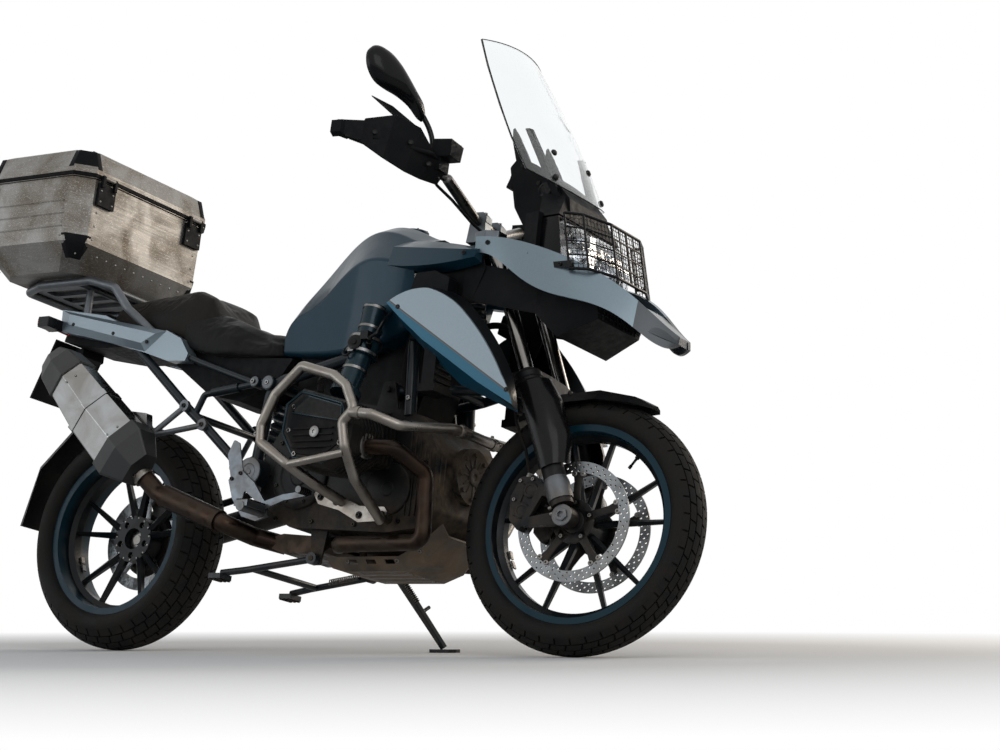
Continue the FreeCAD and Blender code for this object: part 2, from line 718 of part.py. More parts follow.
# Six-sided can that narrows to the back, its band, end cap and the guard at its foot
def make_silencer():
    # columns: x and z of the axis, half width, half height
    stations = [(206, 486, 56, 78), (60, 610, 56, 72), (-42, 706, 54, 62)]
    tilt = math.radians(43)

    def section(x, z, half_width, half_height, grow=0.0):
        w, h = half_width + grow, half_height + grow
        corners = [(-w * 0.55, h), (w * 0.55, h), (w, h * 0.1), (w * 0.7, -h), (-w * 0.7, -h),
                   (-w, h * 0.1)]
        return [(x + v * math.sin(tilt), -silencer_y + u, z + v * math.cos(tilt))
                for u, v in corners]

    can = loft([section(*row) for row in stations], 6)
    cap = loft([section(-42, 706, 54, 62, 5), section(-96, 752, 50, 56, 2),
                section(-124, 776, 36, 40)], 8)
    band = loft([section(66, 605, 56, 72, 2.5), section(50, 618, 56, 72, 2.5)], 6)
    guard = loft([section(250, 446, 40, 52), section(200, 490, 56, 80, 5),
                  section(168, 518, 56, 78, 5)], 8)
    bracket = side_prism([(112, 560), (146, 624), (206, 616), (216, 556), (190, 536)],
                         -silencer_y + 42, -silencer_y + 66, 6)
    return join([can, cap, band, guard, bracket])


def make_skid_plate():
    # columns: x, z of the floor, half width of the floor, half width and z of the side's top
    stations = [(800, 210, 80, 112, 232), (850, skid_floor, 86, 120, 232),
                (1040, skid_floor, 88, 122, 232),
                (1100, 222, 86, 122, 262), (1150, 290, 70, 100, 318)]
    pieces = []
    for row0, row1 in zip(stations, stations[1:]):
        outlines = []
        for x, floor, half, top_half, top in (row0, row1):
            outlines.append([(x, -top_half, top), (x, -half, floor), (x, half, floor),
                             (x, top_half, top), (x, top_half - sheet_wall, top),
                             (x, half - sheet_wall * 0.6, floor + sheet_wall),
                             (x, sheet_wall * 0.6 - half, floor + sheet_wall),
                             (x, sheet_wall - top_half, top)])
        pieces.append(loft(outlines))
    plate = join(pieces)
    slots = [box(x, x + 30, -140, 140, 216, 226) for x in (870, 930, 990)]
    return plate.cut(Part.makeCompound(slots))


def make_crash_bar():
    loop = tube([(902, -200, 358), (886, -300, 382), (861, -386, 415), (765, -388, 474),
                 (763, -390, 519), (798, -392, 597), (875, -392, 668), (981, -392, 638),
                 (1025, -395, 609), (1057, -395, 548), (1026, -395, 516), (1038, -390, 454),
                 (1041, -340, 383), (1031, -200, 307)], bar_tube, 17)
    forward = tube([(1050, -394, 540), (1109, -390, 534), (1166, -347, 513), (1218, -192, 540),
                    (1229, -140, 538), (1207, -1, 545)], bar_tube, 22)
    link = rod((861, -386, 415), (1036, -388, 440), 10.0)
    plate = side_prism([(806, 384), (838, 392), (900, 372), (960, 346), (1040, 342), (1052, 326),
                        (1030, 306), (960, 304), (896, 336), (826, 354)], -204, -196, 6)
    stay_back = rod((830, -200, 372), (830, -engine_half, 372), 12.0)
    stay_front = rod((1010, -200, 324), (1010, -engine_half, 324), 12.0)
    bar = join([loop, forward, link, plate, stay_back, stay_front])
    return bar.cut(box(1000, 1300, -bar_joint_gap, 60, 400, 700))


# Fuel tank with its painted cover
def make_tank():
    # columns: x, floor z, floor half width, belt z, belt half width, shoulder z, half width,
    # top z, half width
    stations = [(556, 792, 92, 838, 98, 858, 84, 872, 46),
                (650, 782, 108, 900, 126, 974, 92, 996, 44),
                (742, 776, 122, 946, 152, 1058, 102, 1084, 50),
                (842, 780, 138, 1000, 184, 1108, 118, 1137, 60),
                (940, 800, 146, 1004, 198, 1092, 124, 1124, 62),
                (1034, 850, 146, 1000, 196, 1062, 134, 1088, 70)]
    outlines = []
    for x, z0, w0, z1, w1, z2, w2, z3, w3 in stations:
        right = [(x, -w0, z0), (x, -w1, z1), (x, -w2, z2), (x, -w3, z3)]
        outlines.append(right + [(px, -py, pz) for px, py, pz in reversed(right)])
    tank = flowing(outlines, 16)
    wing = flowing([
        [(960, -150, 990), (960, -205, 985), (960, -188, 1040), (960, -130, 1070)],
        [(1090, -178, 960), (1090, -226, 968), (1090, -208, 1020), (1090, -176, 1046)],
        [(1246, -186, 974), (1246, -222, 980), (1246, -214, 1002), (1246, -188, 1012)]])
    filler = rod((884, 0, 1120), (884, 0, 1142), 36.0)
    return join([tank, wing, mirrored(wing), filler])


def make_shroud():
    # columns: x, z of the outer skin's edge, x, z of the inner edge; an arc runs through each three
    rows = [(1017, 862, 1008, 858), (1078, 892, 1074, 900), (1136, 896, 1138, 908),
            (1196, 870, 1204, 884), (1250, 827, 1262, 836), (1310, 759, 1322, 766),
            (1372, 664, 1382, 668), (1396, 624, 1396, 622), (1412, 586, 1406, 574)]
    foot = [(1309, 645, 1236, 650), (1135, 761, 1118, 746), (1058, 824, 1044, 814)]

    def skin(x):
        return -264 + (x - 1017) * 0.09

    def edge(side):
        lift = 40 * side
        spots = [(row[2 * side], skin(row[2 * side]) + lift, row[1 + 2 * side])
                 for row in rows + foot]
        curved, straight = spots[:len(rows)], spots[len(rows) - 1:] + spots[:1]
        edges = [Part.Arc(*[vector(spot) for spot in curved[start:start + 3]]).toShape()
                 for start in range(0, len(rows) - 1, 2)]
        edges += [Part.LineSegment(vector(a), vector(b)).toShape()
                  for a, b in zip(straight, straight[1:])]
        return Part.Wire(edges)

    panel = Part.makeLoft([edge(0), edge(1)], True, True)
    stay = box(1110, 1150, -232, -180, 800, 830)
    return join([panel, stay])


def make_radiators():
    body = box(1128, 1166, -228, -156, 640, 868)
    frame = box(1122, 1172, -232, -152, 632, 652)
    top = box(1122, 1172, -232, -152, 856, 876)
    stay = rod((1020, -142, 800), (1140, -174, 800), 9.0)
    slats = [box(1160, 1171, -222, -158, z, z + 4) for z in range(660, 850, 16)]
    cowl = side_prism([(1122, 866), (1172, 866), (1176, 930), (1130, 952), (1070, 950),
                       (1056, 900)], -222, -182, 6)
    return both(join([body, frame, top, stay, cowl] + slats))


def make_beak():
    # columns: x, y and z of the upper edge, y and z of the lower edge
    stations = [(1232, 204, 1040, 202, 996), (1300, 200, 1034, 196, 976),
                (1420, 178, 1004, 184, 896), (1545, 128, 952, 148, 862),
                (1650, 74, 880, 88, 808), (1752, 26, 792, 30, 772)]
    outlines = []
    for x, y_top, top, y_low, low in stations:
        outlines.append([(x, -y_top, top), (x, -y_low, low), (x, 12 - y_low, low),
                         (x, 12 - y_top, top - 4)])
    blade = flowing(outlines)
    ramp = loft([
        [(1560, -122, 898), (1560, 122, 898), (1560, 122, 908), (1560, -122, 908)],
        [(1650, -76, 850), (1650, 76, 850), (1650, 76, 866), (1650, -76, 866)]])
    tip = loft([
        [(1650, -80, 812), (1650, 80, 812), (1650, 70, 872), (1650, -70, 872)],
        [(1750, -30, 772), (1750, 30, 772), (1750, 24, 792), (1750, -24, 792)]])
    return join([blade, mirrored(blade), ramp, tip])


def make_nose_duct():
    duct = loft([
        [(1400, -150, 840), (1400, 150, 840), (1400, 150, 942), (1400, -150, 942)],
        [(1450, -120, 786), (1450, 120, 786), (1450, 150, 940), (1450, -150, 940)],
        [(1556, -100, 830), (1556, 100, 830), (1556, 120, 896), (1556, -120, 896)]])
    liner = loft([
        [(1190, -178, 984), (1190, -178, 884), (1190, -172, 884), (1190, -172, 984)],
        [(1402, -149, 941), (1402, -149, 841), (1402, -143, 841), (1402, -143, 941)]])
    return join([duct, liner, mirrored(liner)])


def make_headlight():
    body = loft([
        [(1380, -150, 946), (1380, 150, 946), (1380, 150, 1092), (1380, -150, 1092)],
        [(1470, -156, 946), (1470, 156, 946), (1440, 150, 1096), (1440, -150, 1096)]])
    lens = loft([
        [(1464, -150, 950), (1464, 150, 950), (1435, 146, 1092), (1435, -146, 1092)],
        [(1520, -126, 958), (1520, 126, 958), (1484, 120, 1080), (1484, -120, 1080)]])
    return join([body, lens])


# Wire guard on two brackets in front of the headlight
def make_headlight_guard():
    lower = [(1500, -168, 946), (1546, -150, 946), (1582, -70, 944), (1582, 70, 944),
             (1546, 150, 946), (1500, 168, 946)]
    upper = [(1466, -164, 1096), (1512, -146, 1092), (1548, -70, 1086), (1548, 70, 1086),
             (1512, 146, 1092), (1466, 164, 1096)]
    pieces = [tube(lower, 4.0, 12), tube(upper, 4.0, 12)]
    for start, end in zip(lower, upper):
        pieces.append(rod(start, end, 3.0))
    for share in (0.25, 0.5, 0.75):
        row = [tuple(vector(a) + (vector(b) - vector(a)) * share) for a, b in zip(lower, upper)]
        for start, end in zip(row, row[1:]):
            pieces.append(rod(start, end, 2.0))
    for y in (-35, 0, 35):
        pieces.append(rod((1582, y, 944), (1548, y, 1086), 2.0))
    for side in (-1, 1):
        pieces.append(box(1440, 1508, side * 166 - 4, side * 166 + 4, 950, 966))
    return join(pieces)


# Instrument carrier behind the screen, nose fairing and the two blades beside the screen
def make_cockpit():
    spine = side_prism([(1345, 1060), (1385, 1092), (1440, 1100), (1430, 1160), (1380, 1215),
                        (1320, 1260), (1262, 1290), (1236, 1262), (1262, 1150), (1300, 1090)],
                       -92, 92, 8)
    brow = loft([
        [(1380, -150, 1097), (1380, 150, 1097), (1350, 96, 1200), (1350, -96, 1200)],
        [(1440, -148, 1101), (1440, 148, 1101), (1418, 92, 1166), (1418, -92, 1166)]])
    dash = side_prism([(1222, 1210), (1240, 1206), (1272, 1280), (1258, 1292)], -84, 84, 4)
    cheek = loft([
        [(1345, -156, 1000), (1392, -168, 1000), (1392, -168, 1106), (1345, -156, 1106)],
        [(1345, -120, 1000), (1392, -120, 1000), (1392, -120, 1106), (1345, -120, 1106)]])
    blade = loft([
        [(1300, -136, 1346), (1316, -136, 1346), (1316, -120, 1346), (1300, -120, 1346)],
        [(1402, -96, 1130), (1424, -96, 1130), (1424, -76, 1130), (1402, -76, 1130)]])
    return join([spine, brow, dash, cheek, mirrored(cheek), blade, mirrored(blade)])


def make_windshield():
    # columns: z of the edges, x and y of the edge, x and z of the middle
    stations = [(1216, 1352, 186, 1426, 1180), (1300, 1306, 197, 1374, 1290),
                (1400, 1252, 190, 1316, 1400), (1520, 1188, 172, 1240, 1524),
                (1611, 1140, 148, 1176, 1622)]
    wires = []
    for z, x, y, mid_x, mid_z in stations:
        ends = [FreeCAD.Vector(x, -y, z), FreeCAD.Vector(x, y, z)]
        centre = FreeCAD.Vector(mid_x, 0, mid_z)
        back = (FreeCAD.Vector(x, 0, z) - centre).normalize() * screen_wall
        edges = [Part.Arc(ends[0], centre, ends[1]).toShape(),
                 Part.LineSegment(ends[1], ends[1] + back).toShape(),
                 Part.Arc(ends[1] + back, centre + back, ends[0] + back).toShape(),
                 Part.LineSegment(ends[0] + back, ends[0]).toShape()]
        wires.append(Part.Wire(edges))
    return Part.makeLoft(wires, True, True)


def make_rider_seat():
    # columns: x, floor z, half width low, top z, half width high
    stations = [(336, 800, 128, 900, 104), (400, 794, 140, 880, 124), (480, 788, 126, 856, 106),
                (554, 790, 96, 858, 78)]
    outlines = []
    for x, floor, low, top, high in stations:
        outlines.append([(x, -low, floor), (x, -low - 4, (floor + top) / 2 + 8), (x, -high, top),
                         (x, high, top), (x, low + 4, (floor + top) / 2 + 8), (x, low, floor)])
    return loft(outlines, 12)


def make_pillion_seat():
    stations = [(-104, 880, 96, 984, 84), (60, 866, 116, 996, 104), (230, 852, 126, 1004, 110),
                (296, 852, 126, 984, 106), (334, 852, 120, 920, 104)]
    outlines = []
    for x, floor, low, top, high in stations:
        outlines.append([(x, -low, floor), (x, -low - 4, (floor + top) / 2 + 8), (x, -high, top),
                         (x, high, top), (x, low + 4, (floor + top) / 2 + 8), (x, low, floor)])
    return loft(outlines, 14)


# Dark housing under the seats, with the tail's inner mudguard
def make_tail_unit():
    body = side_prism([(-262, 876), (-236, 952), (-104, 952), (-104, 878), (60, 864),
                       (334, 848), (345, 796), (600, 780), (560, 726), (430, 668), (320, 690),
                       (160, 800), (20, 846), (-120, 850)], -104, 104, 4)
    return body


def make_tail_panels():
    outline = [(-240, 958), (-236, 893), (-66, 858), (101, 812), (188, 784), (254, 780),
               (262, 800), (228, 846), (172, 872), (94, 862), (-68, 930)]
    panel = side_prism(outline, -150, -112, 3)
    bevel = loft([
        [(-236, -150, 955), (-234, -150, 896), (101, -150, 815), (172, -150, 870)],
        [(-200, -160, 940), (-200, -160, 910), (90, -160, 838), (140, -160, 862)]])
    return both(join([panel, bevel]))


def make_luggage_rack():
    pieces = []
    for side in (-1, 1):
        pieces.append(tube([(96, side * 126, 880), (22, side * 158, 942), (-36, side * 162, 1008),
                            (-130, side * 164, 1034), (-330, side * 160, 1034),
                            (-430, side * 110, 1034), (-430, 0, 1034)], 12.0, 26))
        pieces.append(rod((-190, side * 100, 952.3), (-190, side * 100, 1034), 11.0))
        pieces.append(rod((60, side * 126, 880), (100, side * 126, 880), 9.0))
    pieces.append(rod((-130, -164, 1034), (-130, 164, 1034), 9.0))
    pieces.append(rod((-190, -160, 1034), (-190, 160, 1034), 9.0))
    deck = floor_prism([(-410, -120), (-150, -150), (-150, 150), (-410, 120)], 1038, rack_top, 12)
    cuts = [floor_prism([(-380, y - 24), (-200, y - 24), (-200, y + 24), (-380, y + 24)], 1030,
                        1060, 10) for y in (-68, 0, 68)]
    pieces.append(deck.cut(Part.makeCompound(cuts)))
    return join(pieces)


def case_outline(inset, z):
    x0, x1, half, corner = case_back + inset, case_front - inset, case_half - inset, case_corner
    return [(x0 + corner, -half, z), (x1 - corner, -half, z), (x1, corner - half, z),
            (x1, half - corner, z), (x1 - corner, half, z), (x0 + corner, half, z),
            (x0, half - corner, z), (x0, corner - half, z)]


def make_case_shell():
    outer = loft([case_outline(58, case_floor), case_outline(4, case_waist),
                  case_outline(0, case_rim)])
    inner = loft([case_outline(58 + case_wall, case_floor + case_wall),
                  case_outline(4 + case_wall, case_waist),
                  case_outline(case_wall, case_rim + 1)])
    return outer.cut(inner)


def make_case_lid():
    low = case_rim + lid_gap
    outer = loft([case_outline(-5, low), case_outline(-5, low + 26), case_outline(16, case_top - 8),
                  case_outline(30, case_top)])
    inner = loft([case_outline(-5 + case_wall, low - 1), case_outline(-5 + case_wall, low + 26),
                  case_outline(16 + case_wall, case_top - 8 - case_wall)])
    hinges = []
    for y in (-hinge_y, hinge_y):
        hinges.append(rod((hinge_x, y - hinge_half, hinge_z), (hinge_x, y + hinge_half, hinge_z),
                          hinge_radius))
        hinges.append(box(case_front, hinge_x, y - hinge_half, y + hinge_half, hinge_z - 4,
                          hinge_z + hinge_radius))
    pins = [rod((hinge_x, y - 40, hinge_z), (hinge_x, y + 40, hinge_z), hinge_pin + bearing_gap)
            for y in (-hinge_y, hinge_y)]
    return join([outer.cut(inner)] + hinges).cut(Part.makeCompound(pins))


def make_case_fittings():
    pieces = []
    for y in (-hinge_y, hinge_y):
        plate = box(case_front, hinge_x - 2, y - 34, y + 34, 1240, case_rim - 8)
        eyes = []
        for near in (y - hinge_half - 0.3 - 9, y + hinge_half + 0.3):
            eyes.append(side_prism([(case_front + 1, case_rim - 20), (hinge_x + hinge_radius - 1,
                                    case_rim - 20), (hinge_x + hinge_radius, hinge_z),
                                    (hinge_x + 3, hinge_z + 6), (hinge_x - 2.5, hinge_z + 5.5),
                                    (hinge_x - 5, hinge_z), (hinge_x - 5, case_rim - 4),
                                    (case_front + 1, case_rim - 10)], near, near + 9))
        pin = rod((hinge_x, y - 32, hinge_z), (hinge_x, y + 32, hinge_z), hinge_pin)
        pieces.append(join([plate, pin] + eyes))
    for y in (-150, 150):
        pieces.append(box(case_back - 12, case_back, y - 30, y + 30, 1230, 1300))
    return Part.makeCompound(pieces)


def make_tail_light():
    lamp = side_prism([(-286, 896), (-255, 896), (-242, 934), (-274, 934)], -52, 52)
    stalks = []
    for side in (-1, 1):
        stalk = rod((-250, side * 104.3, 900), (-262, side * 150, 906), 7.0)
        head = loft([[(-282, side * 150, 894), (-236, side * 150, 894), (-236, side * 150, 922),
                      (-282, side * 150, 922)],
                     [(-276, side * 206, 900), (-244, side * 206, 900), (-244, side * 206, 918),
                      (-276, side * 206, 918)]])
        stalks.append(join([stalk, head]))
    return Part.makeCompound([lamp] + stalks)


def make_plate_holder():
    arm = side_prism([(-240, 872), (-262, 872), (-311, 850), (-340, 780), (-328, 774),
                      (-296, 830), (-240, 849)], -44, 44, 3)
    plate = side_prism([(-296, 884), (-300, 888), (-372, 716), (-366, 714)], -100, 100)
    return join([arm, plate])


def make_swingarm():
    arm = tube([(552, 96, 440), (470, shaft_y, 424), (120, shaft_y, 344), (0, shaft_y, 318)],
               shaft_radius, 60)
    drive = spun([(94, 84), (98, 104), (98, 150), (70, 176), (0, 182), (0, 74), (80, 74)],
                 axle_rear)
    seat = rear_disc_y - disc_wall / 2 + hub_gap
    flange = rod((0, seat, axle_rear[2]), (0, 80, axle_rear[2]), 46.0)
    strut = rod((552, 128, 520), (36, 132, 396), 10.0)
    caliper = side_prism([(22, 424), (60, 468), (104, 440), (110, 400), (72, 380), (40, 390)],
                         46, 96, 5)
    slot = spun([(rear_disc_radius + 3, rear_disc_y - 4.5), (rear_disc_radius + 3,
                 rear_disc_y + 4.5), (60, rear_disc_y + 4.5), (60, rear_disc_y - 4.5)], axle_rear)
    return join([arm, drive, flange, strut, caliper.cut(slot)])


# Damper rod with its spring drawn as one turned profile, a bulge for each coil
def make_strut(lower, upper, core, bulge, turns):
    length = (vector(upper) - vector(lower)).Length
    low, high = length * 0.16, length * 0.9
    pitch = (high - low) / turns
    edges = []

    def spot(radius, height):
        return FreeCAD.Vector(radius, 0, height)

    corners = [spot(0, 0), spot(core * 0.5, 0), spot(core * 0.5, low - 8), spot(bulge, low - 8),
               spot(bulge, low), spot(core, low)]
    for first, second in zip(corners, corners[1:]):
        edges.append(Part.LineSegment(first, second).toShape())
    for index in range(turns):
        base = low + pitch * index
        edges.append(Part.Arc(spot(core, base), spot(bulge, base + pitch / 2),
                              spot(core, base + pitch)).toShape())
    corners = [spot(core, high), spot(bulge, high), spot(bulge, high + 8),
               spot(core * 0.6, high + 8), spot(core * 0.6, length), spot(0, length), spot(0, 0)]
    for first, second in zip(corners, corners[1:]):
        edges.append(Part.LineSegment(first, second).toShape())
    strut = Part.Face(Part.Wire(edges)).revolve(FreeCAD.Vector(), FreeCAD.Vector(0, 0, 1), 360)
    heading = FreeCAD.Rotation(FreeCAD.Vector(0, 0, 1), vector(upper) - vector(lower))
    strut.Placement = FreeCAD.Placement(vector(lower), heading)
    return strut


def make_struts():
    rear = make_strut((392.0, 70.0, 470.0), (500.0, 40.0, 700.0), 27.0, 36.0, 8)
    front = make_strut((1150.0, 0.0, 690.0), (1092.0, 0.0, 956.0), 24.0, 33.0, 8)
    rear_foot = rod((392, 60, 474), (392, 138, 446), 12.0)
    return Part.makeCompound([join([rear, rear_foot]), front])


# Front arm from the crankcase to the ball joint under the fork
def make_suspension_arm():
    x = steering_x(ball_height)
    arms = []
    eyes = []
    for side in (-1, 1):
        arms.append(tube([(arm_pivot_x + 6, side * arm_y, arm_pivot_z), (1120, side * 66, 676),
                          (x - 30, side * 10, 682)], 13.0, 60))
        near, far = arm_y - arm_eye / 2, arm_y + arm_eye / 2
        eyes.append(rod((arm_pivot_x, side * near, arm_pivot_z),
                        (arm_pivot_x, side * far, arm_pivot_z), 22.0))
    cross = rod((1120, -66, 676), (1120, 66, 676), 14.0)
    ball = Part.makeSphere(24.0, FreeCAD.Vector(x, 0, ball_height))
    neck = rod((x - 40, 0, 680), (x - 8, 0, ball_height - 6), 14.0)
    bore = rod((arm_pivot_x, -200, arm_pivot_z), (arm_pivot_x, 200, arm_pivot_z), arm_pin)
    return join(arms + eyes + [cross, neck, ball]).cut(bore)


def make_rear_hugger():
    inner = rear_size["radius"] + 44
    outer = inner + 5
    pieces = []
    stations = [(98, 92), (120, 100), (148, 100), (176, 88)]
    for (a0, w0), (a1, w1) in zip(stations, stations[1:]):
        outlines = []
        for angle, half in ((a0, w0), (a1, w1)):
            outlines.append([around(axle_rear, reach, angle, y) for reach, y in (
                (inner - 24, -half), (inner - 24, 5 - half), (inner, -half * 0.7),
                (inner, half * 0.7), (inner - 24, half - 5), (inner - 24, half),
                (outer, half * 0.76), (outer, -half * 0.76))])
        pieces.append(loft(outlines))
    stay = tube([(-20, 170, 392), (-90, 150, 520), (-150, 96, 640)], 8.0, 30)
    return join(pieces + [stay])


def make_footrests():
    plate = side_prism([(500, 430), (540, 456), (590, 420), (640, 360), (650, 328), (610, 316),
                        (560, 330), (520, 380)], -188, -180, 5)
    window = side_prism([(560, 400), (600, 372), (586, 350), (556, 372)], -200, -170, 4)
    peg = rod((628, -184, 338), (628, -278, 338), 13.0)
    cleat = box(606, 650, -276, -200, 338, 354)
    guard = side_prism([(506, 428), (484, 500), (500, 540), (520, 530), (544, 450)],
                       -184, -180, 5)
    spacer = rod((560, -176.3, 428), (560, -182, 428), 16.0)
    lever = side_prism([(600, 338), (618, 336), (704, 367), (791, 379), (791, 393), (700, 383),
                        (602, 355)], -198, -191, 4)
    pivot = rod((610, -186, 346), (610, -203, 346), 12.0)
    pad = rod((782, -191, 386), (782, -238, 386), pedal_radius)
    return both(join([plate.cut(window), peg, cleat, guard, spacer, lever, pivot, pad]))


def make_pillion_pegs():
    pieces = []
    for side in (-1, 1):
        y = side * 150
        arms = [rod((280, y, 650), (196, side * 186, 560), 8.0),
                rod((352, y, 594), (196, side * 186, 560), 8.0)]
        mount = [rod((280, side * 147.3, 650), (280, side * 158, 650), 16.0),
                 rod((352, side * 147.3, 594), (352, side * 158, 594), 16.0)]
        peg = rod((196, side * 180, 560), (196, side * 196, 560), 20.0)
        foot = loft([[(180, side * 196, 552), (212, side * 196, 552), (212, side * 196, 572),
                      (180, side * 196, 572)],
                     [(186, side * 204, 556), (206, side * 204, 556), (206, side * 204, 572),
                      (186, side * 204, 572)]])
        pieces.append(join(arms + mount + [peg, foot]))
    return Part.makeCompound(pieces)


def make_centre_stand():
    pieces = []
    for side in (-1, 1):
        px, py, pz = centre_pivot
        pieces.append(tube([(px - 8, side * py, pz - 2), (560, side * 138, 196),
                            (486, side * 150, 186)], 9.0, 40))
        pieces.append(rod((px, side * (py - centre_eye / 2), pz),
                          (px, side * (py + centre_eye / 2), pz), 16.0))
        pieces.append(box(462, 502, side * 150 - 24, side * 150 + 24, 168, 182))
    pieces.append(rod((580, -138, 199), (580, 138, 199), 9.0))
    px, py, pz = centre_pivot
    return join(pieces).cut(rod((px, -200, pz), (px, 200, pz), stand_pin + bearing_gap))


# The parked pose: turned front end, lean onto the stand, level tyres

def steer_axis():
    slope = math.radians(rake)
    return FreeCAD.Vector(-math.sin(slope), 0, math.cos(slope))


def parked(shape, turns_with_bars):
    copy = shape.copy()
    if turns_with_bars:
        copy.rotate(FreeCAD.Vector(wheelbase + trail, 0, 0), steer_axis(), rest_steer)
    copy.rotate(FreeCAD.Vector(0, 0, 0), FreeCAD.Vector(1, 0, 0), -lean)
    copy.rotate(FreeCAD.Vector(0, 0, 0), FreeCAD.Vector(0, 1, 0), park_pitch)
    copy.translate(FreeCAD.Vector(0, 0, park_lift))
    return copy


def lowest(size, centre, turns_with_bars, pitch):
    axle = FreeCAD.Vector(0, 1, 0)
    middle = vector(centre)
    if turns_with_bars:
        foot = FreeCAD.Vector(wheelbase + trail, 0, 0)
        turn = FreeCAD.Rotation(steer_axis(), rest_steer)
        axle = turn.multVec(axle)
        middle = turn.multVec(middle - foot) + foot
    for spin in (FreeCAD.Rotation(FreeCAD.Vector(1, 0, 0), -lean),
                 FreeCAD.Rotation(FreeCAD.Vector(0, 1, 0), pitch)):
        axle = spin.multVec(axle)
        middle = spin.multVec(middle)
    crown = size["crown"]
    reach = (size["radius"] - crown) * math.sqrt(1 - axle.z ** 2) + crown
    return middle.z - reach


park_pitch = math.degrees(math.atan2(
    lowest(front_size, axle_front, True, 0) - lowest(rear_size, axle_rear, False, 0), wheelbase))
park_lift = -lowest(rear_size, axle_rear, False, park_pitch)


# The point on the parked ground under an upright place
def ground_under(x, y):
    spot = FreeCAD.Vector(x, y, y * math.tan(math.radians(lean)))
    spot = FreeCAD.Rotation(FreeCAD.Vector(1, 0, 0), -lean).multVec(spot)
    spot = FreeCAD.Rotation(FreeCAD.Vector(0, 1, 0), park_pitch).multVec(spot)
    return spot.x, spot.y


def make_side_stand():
    down, axis, length = stand_directions()
    side = axis.cross(down)
    pivot = vector(stand_pivot)

    def section(share, half_width, half_depth):
        middle = pivot + down * length * share
        return [tuple(middle + side * half_width * u + axis * half_depth * v)
                for u, v in ((-1, -1), (1, -1), (1, 1), (-1, 1))]

    leg = loft([section(0, 13, 8), section(1, 9, 7)], 3)
    eye = rod(on_stand_axis(-stand_eye / 2), on_stand_axis(stand_eye / 2), 17.0)
    bore = rod(on_stand_axis(-stand_eye), on_stand_axis(stand_eye), stand_pin + bearing_gap)
    root = pivot + down * length * 0.55
    toe = rod(tuple(root), tuple(root + side * 8 + axis * 36), 5.0)
    upper = parked(join([leg, eye, toe]).cut(bore), False)
    gx, gy = ground_under(*stand_foot)
    pad = floor_prism([(gx - 34, gy - 22), (gx + 30, gy - 22), (gx + 44, gy - 4),
                       (gx + 44, gy + 16), (gx + 30, gy + 24), (gx - 34, gy + 24)], 0, 9, 6)
    return join([upper, pad])


# body: chassis, fork, front_wheel, rear_wheel, side_stand, centre_stand or case_lid
makers = [
    ("main_frame", "chassis", make_main_frame),
    ("rear_subframe", "chassis", make_rear_subframe),
    ("engine", "chassis", make_engine),
    ("cylinder_right", "chassis", make_cylinder),
    ("cylinder_left", "chassis", lambda: mirrored(make_cylinder())),
    ("intakes", "chassis", make_intakes),
    ("airbox", "chassis", make_airbox),
    ("exhaust_pipes", "chassis", make_exhaust_pipes),
    ("silencer", "chassis", make_silencer),
    ("skid_plate", "chassis", make_skid_plate),
    ("crash_bar_right", "chassis", make_crash_bar),
    ("crash_bar_left", "chassis", lambda: mirrored(make_crash_bar())),
    ("tank", "chassis", make_tank),
    ("shroud_right", "chassis", make_shroud),
    ("shroud_left", "chassis", lambda: mirrored(make_shroud())),
    ("radiators", "chassis", make_radiators),
    ("beak", "chassis", make_beak),
    ("nose_duct", "chassis", make_nose_duct),
    ("headlight", "chassis", make_headlight),
    ("headlight_guard", "chassis", make_headlight_guard),
    ("cockpit", "chassis", make_cockpit),
    ("windshield", "chassis", make_windshield),
    ("rider_seat", "chassis", make_rider_seat),
    ("pillion_seat", "chassis", make_pillion_seat),
    ("tail_unit", "chassis", make_tail_unit),
    ("tail_panels", "chassis", make_tail_panels),
    ("luggage_rack", "chassis", make_luggage_rack),
    ("case_shell", "chassis", make_case_shell),
    ("case_fittings", "chassis", make_case_fittings),
    ("case_lid", "case_lid", make_case_lid),
    ("tail_light", "chassis", make_tail_light),
    ("plate_holder", "chassis", make_plate_holder),
    ("swingarm", "chassis", make_swingarm),
    ("struts", "chassis", make_struts),
    ("suspension_arm", "chassis", make_suspension_arm),
    ("rear_hugger", "chassis", make_rear_hugger),
    ("footrests", "chassis", make_footrests),
    ("pillion_pegs", "chassis", make_pillion_pegs),
    ("centre_stand", "centre_stand", make_centre_stand),
    ("side_stand", "side_stand", make_side_stand),
    ("fork_tubes", "fork", make_fork_tubes),
    ("fork_sliders", "fork", make_fork_sliders),
    ("handlebar", "fork", make_handlebar),
    ("hand_controls", "fork", make_hand_controls),
    ("handguards", "fork", make_handguards),
    ("mirrors", "fork", make_mirrors),
    ("front_fender", "fork", make_front_fender),
    ("front_calipers", "fork", make_front_calipers),
    ("brake_hoses", "fork", make_brake_hoses),
    ("front_axle", "fork", make_front_axle),
    ("front_rim", "front_wheel", make_front_rim),
    ("front_tyre", "front_wheel", lambda: make_tyre(front_size, axle_front)),
    ("front_discs", "front_wheel", make_front_discs),
    ("rear_rim", "rear_wheel", make_rear_rim),
    ("rear_tyre", "rear_wheel", lambda: make_tyre(rear_size, axle_rear)),
    ("rear_disc", "rear_wheel", make_rear_disc),
]

shapes = {}
for name, body, maker in makers:
    shapes[name] = maker()

